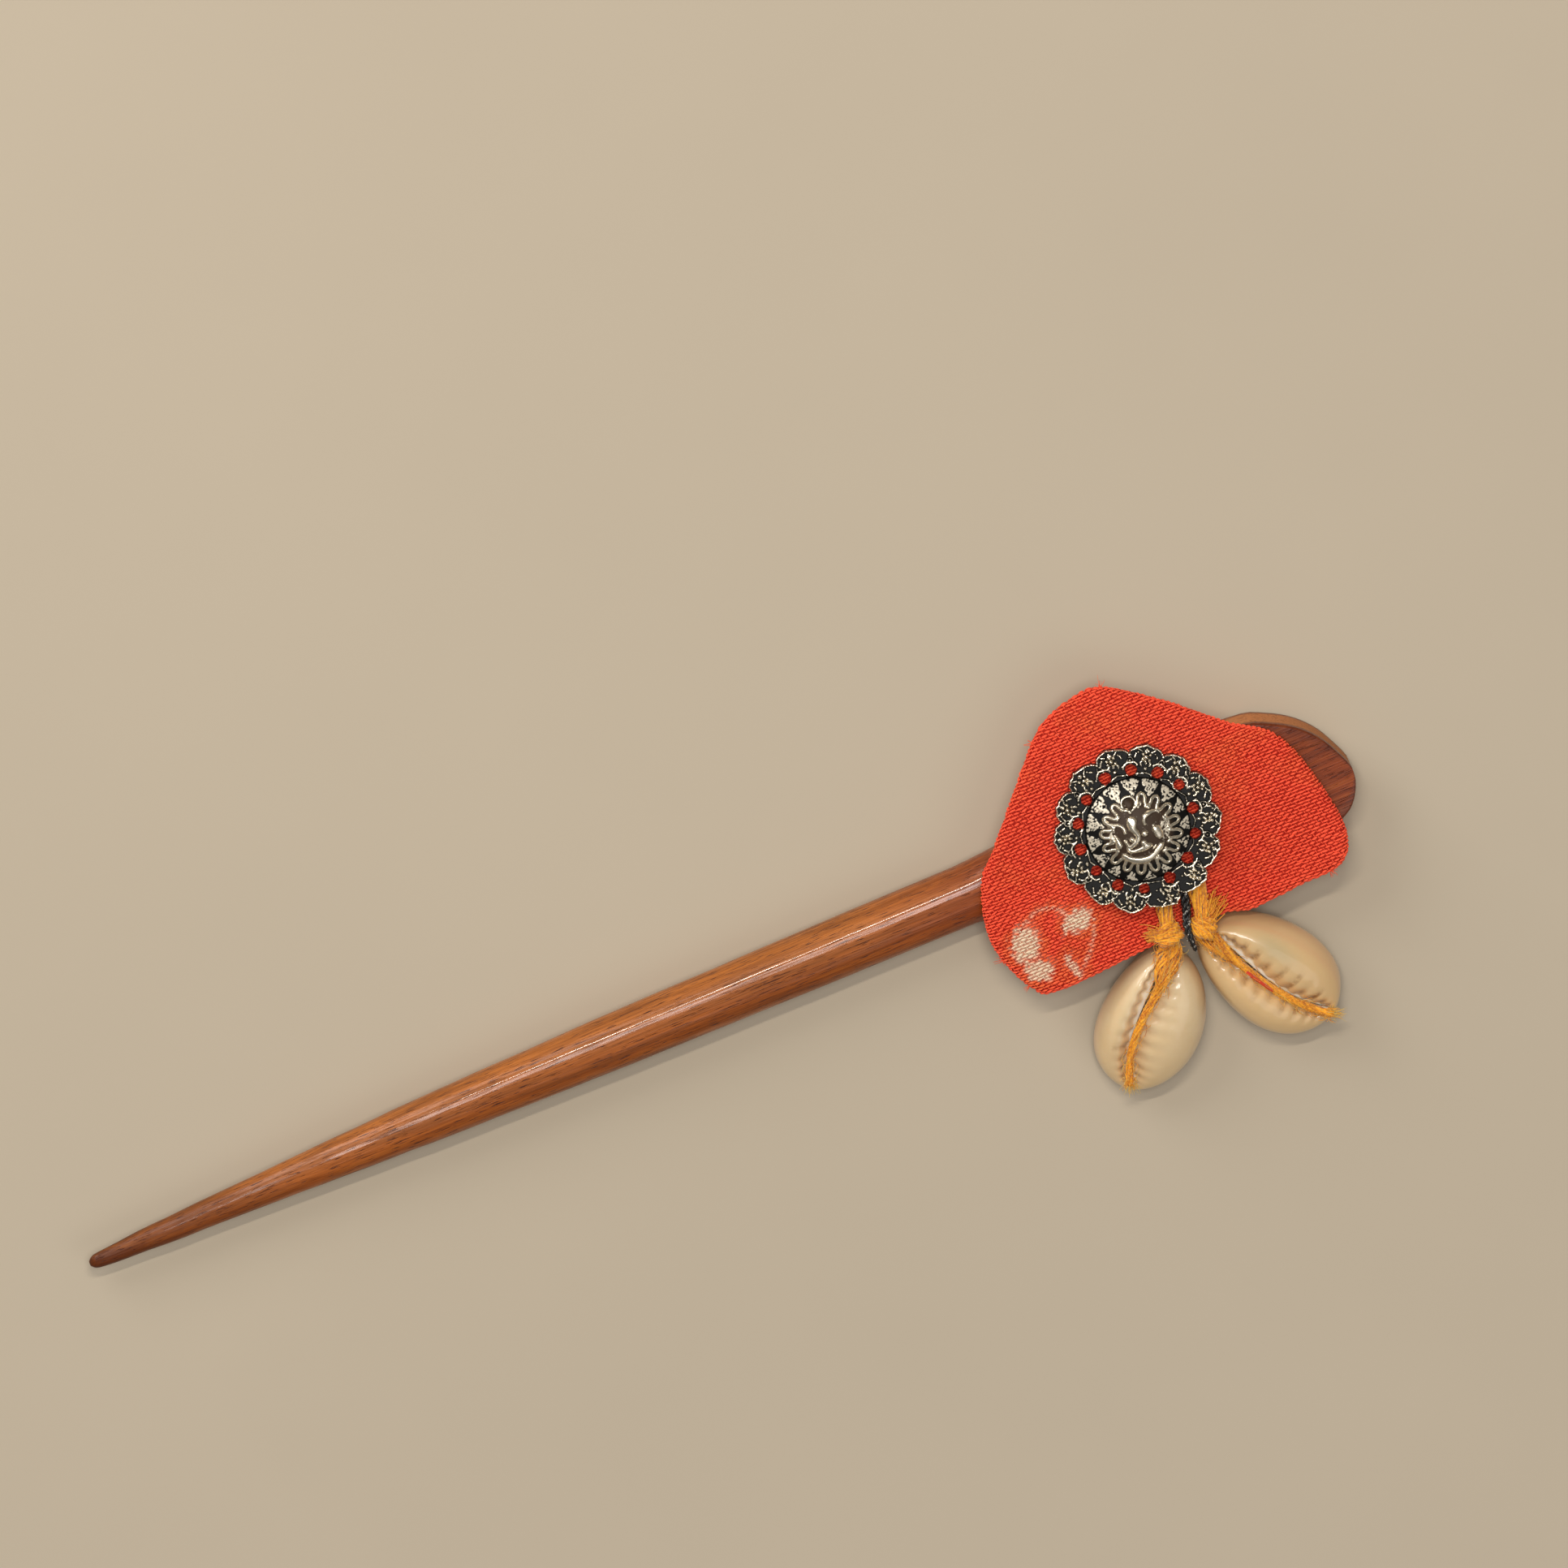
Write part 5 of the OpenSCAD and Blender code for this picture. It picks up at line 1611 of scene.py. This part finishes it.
def yarn_route(layout, yarn, shell, knot, start_x):
    """Line of a yarn from under the medallion over its knot and along the slit."""
    half, thin = yarn.yarn_d / 2, yarn.yarn_slit_d / 2
    side, reach = shell.yarn
    under_z = layout.cloth_face + 0.9 * yarn.gap + half
    rows = [(start_x, layout.under_y, under_z, 1.8 * half, half),
            (*knot, 1.2 * half, half)]
    for along, aside, up, grown in YARN_IN_SLIT:
        f = max(0, reach * along)
        spare = max(0, float(shell.slit_half(f)) - thin - yarn.gap / 3)
        spot = shell.place((reach * along * shell.l,
                            float(shell.slit_middle(f)) + side * aside * spare,
                            up * shell.look.shell_h * float(shell.face_share(f))
                            + thin + yarn.gap / 2))
        rows.append((*spot, thin * (1 + shell.spread * grown), thin))
    return open_curve(rows, 9)


def strands(route, number, twist, size, rng, start=0.0, end=1.0):
    """Twisted strands of a yarn along its route, or along a part of it."""
    at = route[:, :3]
    side, up = side_and_up(at)
    run = run_along(at)
    part = (run >= start * run[-1]) & (run <= end * run[-1])
    out = []
    for k in range(number):
        level = 0.84 if k % 3 else 0.45
        a = 2 * math.pi * k / number * 1.5 + twist * run + 0.5 * np.sin(
            run / (1.9 * MM) + rng.uniform(0, 6)) + rng.uniform(-0.3, 0.3)
        spread = level * (1 + 0.07 * np.sin(run / (1.1 * MM) + rng.uniform(0, 6)))
        line = at + round_line(side, up, a, spread * (route[:, 3] - 0.6 * size),
                               spread * (route[:, 4] - 0.6 * size))
        out.append(with_radius(line, size * rng.uniform(0.8, 1.15))[part])
    return out


def with_radius(line, radius):
    """Route from a line of places, with its radius in the last column."""
    return np.concatenate([line, np.broadcast_to(radius, len(line))[:, None]], 1)


def knot_strands(yarn, knot, turn, rng):
    """Turns of a knot that lie side by side, each of a few strands."""
    strand = 0.17 * yarn.knot_w
    strands_in_turn = 11
    t = np.linspace(0, 2 * math.pi, 41)
    out = []
    for k in (-1, 0, 1):
        angle = turn + math.radians(14) * k
        axis = np.array((math.cos(angle), math.sin(angle), 0))
        across = np.array((-axis[1], axis[0], 0))
        middle = np.array(knot) + 1.25 * strand * k * across
        for s in range(strands_in_turn):
            swirl = 2 * math.pi * s / strands_in_turn + 2 * t
            thick = strand * (0.82 if s % 2 else 0.6)
            wide = yarn.knot_w / 2 - strand + thick * np.cos(swirl)
            high = 0.31 * yarn.knot_w - strand + thick * np.cos(swirl)
            line = (middle + np.outer(wide * np.cos(t), axis)
                    + np.outer(thick * np.sin(swirl), across)
                    + np.outer(high * np.sin(t), (0, 0, 1)))
            out.append(with_radius(line, KNOT_STRAND_R * rng.uniform(0.8, 1.2)))
    return out


def tuft_strands(start, end, number, size, flare, rng):
    """Loose fibres that stand off a knot or end a yarn."""
    start, end = np.array(start), np.array(end)
    reach = np.linalg.norm(end - start)
    out = []
    for _ in range(number):
        aim = (end - start) * rng.uniform(0.6, 1.08) + rng.normal(0, flare, 3) * reach * (1, 1, 0.6)
        bow = rng.normal(0, 0.12, 3) * reach
        f = np.linspace(0, 1, 7)[:, None]
        root = start + rng.normal(0, 0.07, 3) * reach
        line = root + aim * f + bow * f * (1 - f) * 2
        out.append(with_radius(line, size * rng.uniform(0.6, 1.3) * np.linspace(1, 0.45, 7)))
    return out


def fuzz_strands(route, number, reach, rng):
    """Fine fibres that stand off a yarn."""
    out = []
    for _ in range(number):
        k = rng.integers(2, len(route) - 2)
        at = route[k, :3]
        ahead = unit(route[k + 1, :3] - route[k - 1, :3])
        away = unit(np.cross(ahead, rng.normal(0, 1, 3)))
        away[2] = abs(away[2])
        start = at + away * (0.8 * route[k, 3])
        f = np.linspace(0, 1, 6)[:, None]
        line = (start + away * reach * rng.uniform(0.1, 0.8) * f * (1.6 - 0.6 * f)
                + ahead * reach * rng.uniform(-1.6, 1.6) * f * f)
        out.append(with_radius(line, FUZZ_R))
    return out


def strand_piece(name, routes, sides, tint_seed, layout):
    """One piece from many strands, each with its own tint."""
    rng = np.random.default_rng(tint_seed)
    points, faces = tube_mesh(routes, sides)
    points[:, 1] += layout.axis_y
    piece = mesh_piece(name, points, faces)
    tint = np.concatenate([np.full(len(route) * sides, rng.normal(0.22, 0.25))
                           for route in routes])
    store(piece, "tint", tint)
    smooth_faces(piece, 80)
    return piece


def make_yarns(settings, layout):
    """Two knotted yarns, each with its knot, tuft, frayed end and fuzz."""
    yarn = settings.yarn
    lit = yarn_material("yarn_orange", yarn.orange, yarn.amber)
    pale = yarn_material("yarn_fray", yarn.fray, yarn.orange)
    red = yarn_material("yarn_red", yarn.red, mix(Vector(yarn.red), Vector(yarn.amber), 0.5))
    for side, shell, knot, turn in (("left", layout.left, layout.left_knot, yarn.left_turn),
                                    ("right", layout.right, layout.right_knot, yarn.right_turn)):
        shift, tuft, seed = YARN_ENDS[side]
        rng = np.random.default_rng(seed)
        route = yarn_route(layout, yarn, shell, knot, knot[0] + shift * yarn.yarn_d)
        routes = strands(route, 30, 0.4 / MM, 0.18 * MM, rng)
        routes += knot_strands(yarn, knot, turn, rng)
        end = np.array(knot) + 0.85 * yarn.knot_w * np.array(tuft)
        routes += tuft_strands(knot, end, 90, 0.1 * MM, 0.18, rng)
        routes += fuzz_strands(route, 240, 1.1 * MM, rng)
        piece = strand_piece(side + "_yarn_strands", routes, 5, seed, layout)
        dress(piece, lit, "yarn", side + "_yarn")
        tip = route[-1, :3]
        ahead = unit(route[-1, :3] - route[-6, :3])
        frayed = tuft_strands(tip - 0.4 * MM * ahead, tip + 1.2 * MM * ahead, 90, 0.035 * MM,
                              0.36, rng)
        frayed += fuzz_strands(route, 90, 1.2 * MM, rng)
        ends = strand_piece(side + "_yarn_fray", frayed, 4, seed + 1, layout)
        dress(ends, pale, "yarn")
        if side == "right":
            # A thinner bundle that lies on the yarn over a part of its length
            above = route.copy()
            above[:, :3] += (-0.14 * MM, -0.2 * MM, 0.5 * MM)
            above[:, 3:] *= 0.42
            streak = strands(above, 7, 0.9 / MM, 0.16 * MM, rng, 0.55, 0.72)
            line = strand_piece("right_yarn_red_streak", streak, 5, seed + 2, layout)
            dress(line, red, "yarn")


def make_cord(settings, layout):
    """Black cord: three twisted plies of five strands each, and a little fuzz."""
    yarn = settings.yarn
    r = yarn.cord_d / 2
    left_x, right_x = layout.left_knot[0], layout.right_knot[0]
    rows = [(mix(left_x, right_x, 0.5) + aside * (right_x - left_x),
             mix(layout.under_y, layout.cloth_low, along),
             layout.cloth_front + yarn.gap + thick * r + up * yarn.knot_w, thick * r, thick * r)
            for along, aside, up, thick in CORD]
    route = open_curve(rows, 14)
    rng = np.random.default_rng(81)
    at, thick = route[:, :3], route[:, 3]
    side, up = side_and_up(at)
    run = run_along(at)
    out = []
    for ply in range(3):
        a = 2 * math.pi * ply / 3 + run * 2.1 / MM
        middle = at + round_line(side, up, a, 0.5 * thick, 0.5 * thick)
        for k in range(5):
            b = 2 * math.pi * k / 5 - run * 3.0 / MM
            line = middle + round_line(side, up, b, 0.3 * thick, 0.3 * thick)
            out.append(with_radius(line, 0.26 * thick))
    out += fuzz_strands(route, 24, 0.5 * MM, rng)
    piece = strand_piece("black_cord_plies", out, 6, 82, layout)
    dress(piece, cord_material(yarn), "cord", "black_cord")


def area_light(name, spot, aim, size, power, tint):
    """Soft rectangular light that faces a point."""
    data = bpy.data.lights.new(name, "AREA")
    data.shape = "RECTANGLE"
    data.size, data.size_y = size
    data.energy = power
    data.color = tint
    lamp = bpy.data.objects.new(name, data)
    lamp.location = spot
    lamp.rotation_euler = (Vector(spot) - Vector(aim)).to_track_quat("Z", "Y").to_euler()
    bpy.context.collection.objects.link(lamp)


def make_stage(settings, layout):
    """Floor, soft lights, sky and the camera at the photograph's angle."""
    look = settings.stage
    bpy.ops.object.select_all(action="DESELECT")
    bpy.ops.mesh.primitive_plane_add(size=6, location=(0, 0, 0))
    floor = name_active("floor")
    floor.data.materials.append(floor_material(look))

    tilt, turn = look.tilt, look.turn
    toward = Vector((0, math.sin(tilt), math.cos(tilt)))
    level_up = Vector((0, math.cos(tilt), -math.sin(tilt)))
    level_right = Vector((1, 0, 0))
    right = level_right * math.cos(turn) - level_up * math.sin(turn)
    up = level_right * math.sin(turn) + level_up * math.cos(turn)
    aim = Vector((AIM[0] * MM, AIM[1] * MM + layout.axis_y, settings.stick.stick_t / 2))
    for name, (sideways, upwards, forwards), size, power, tint in LIGHTS:
        spot = aim + right * sideways + up * upwards + toward * forwards
        area_light(name, spot, aim, size, power, tint)

    world = bpy.data.worlds.new("studio")
    world.use_nodes = True
    background = world.node_tree.nodes["Background"]
    background.inputs["Color"].default_value = SKY
    background.inputs["Strength"].default_value = SKY_STRENGTH
    bpy.context.scene.world = world

    data = bpy.data.cameras.new("camera")
    data.lens = data.sensor_width * look.distance / look.width
    data.clip_end = 20
    camera = bpy.data.objects.new("camera", data)
    spin = Matrix((right, up, toward)).transposed().to_4x4()
    camera.matrix_world = Matrix.Translation(aim + toward * look.distance) @ spin
    bpy.context.collection.objects.link(camera)
    bpy.context.scene.camera = camera
    bpy.context.scene.view_settings.view_transform = "Standard"


# Operators, panel and start


class PieceOperator:
    """Runs one piece's function with the scene's settings."""
    bl_options = {"REGISTER", "UNDO"}
    build = None

    def execute(self, context):
        settings = context.scene.hair_stick
        type(self).build(settings, Layout(settings))
        return {"FINISHED"}


class HAIRSTICK_OT_stick(PieceOperator, bpy.types.Operator):
    """Add the carved stick"""
    bl_idname = "hair_stick.stick"
    bl_label = "Stick"
    build = staticmethod(make_stick)


class HAIRSTICK_OT_cloth(PieceOperator, bpy.types.Operator):
    """Add the cloth patch and its threads"""
    bl_idname = "hair_stick.cloth"
    bl_label = "Cloth patch"
    build = staticmethod(make_cloth)


class HAIRSTICK_OT_medallion(PieceOperator, bpy.types.Operator):
    """Add the cast medallion"""
    bl_idname = "hair_stick.medallion"
    bl_label = "Medallion"
    build = staticmethod(make_medallion)


class HAIRSTICK_OT_cowries(PieceOperator, bpy.types.Operator):
    """Add the two cowrie shells"""
    bl_idname = "hair_stick.cowries"
    bl_label = "Cowries"
    build = staticmethod(make_cowries)


class HAIRSTICK_OT_yarns(PieceOperator, bpy.types.Operator):
    """Add the two knotted yarns"""
    bl_idname = "hair_stick.yarns"
    bl_label = "Yarns"
    build = staticmethod(make_yarns)


class HAIRSTICK_OT_cord(PieceOperator, bpy.types.Operator):
    """Add the black cord"""
    bl_idname = "hair_stick.cord"
    bl_label = "Black cord"
    build = staticmethod(make_cord)


class HAIRSTICK_OT_stage(PieceOperator, bpy.types.Operator):
    """Add the floor, the lights and the camera"""
    bl_idname = "hair_stick.stage"
    bl_label = "Stage"
    build = staticmethod(make_stage)


OPERATORS = (HAIRSTICK_OT_stage, HAIRSTICK_OT_stick, HAIRSTICK_OT_cloth, HAIRSTICK_OT_medallion,
             HAIRSTICK_OT_cowries, HAIRSTICK_OT_yarns, HAIRSTICK_OT_cord)


class HAIRSTICK_PT_panel(bpy.types.Panel):
    """Lists the pieces of the hair stick"""
    bl_idname = "HAIRSTICK_PT_panel"
    bl_label = "Hair stick"
    bl_space_type = "VIEW_3D"
    bl_region_type = "UI"
    bl_category = "Hair stick"

    def draw(self, context):
        for operator in OPERATORS:
            self.layout.operator(operator.bl_idname)


CLASSES = (StickSettings, ClothSettings, MedallionSettings, ShellSettings, YarnSettings,
           StageSettings, HairStickSettings, *OPERATORS, HAIRSTICK_PT_panel)


def register():
    """Registers the settings, the operators and the panel."""
    for item in CLASSES:
        bpy.utils.register_class(item)
    bpy.types.Scene.hair_stick = bpy.props.PointerProperty(type=HairStickSettings)


def unregister():
    """Takes them out again."""
    del bpy.types.Scene.hair_stick
    for item in reversed(CLASSES):
        bpy.utils.unregister_class(item)


def main():
    """Builds the whole scene."""
    register()
    bpy.ops.hair_stick.stage()
    bpy.ops.hair_stick.stick()
    bpy.ops.hair_stick.cloth()
    bpy.ops.hair_stick.medallion()
    bpy.ops.hair_stick.cowries()
    bpy.ops.hair_stick.yarns()
    bpy.ops.hair_stick.cord()


if __name__ == "__main__":
    main()
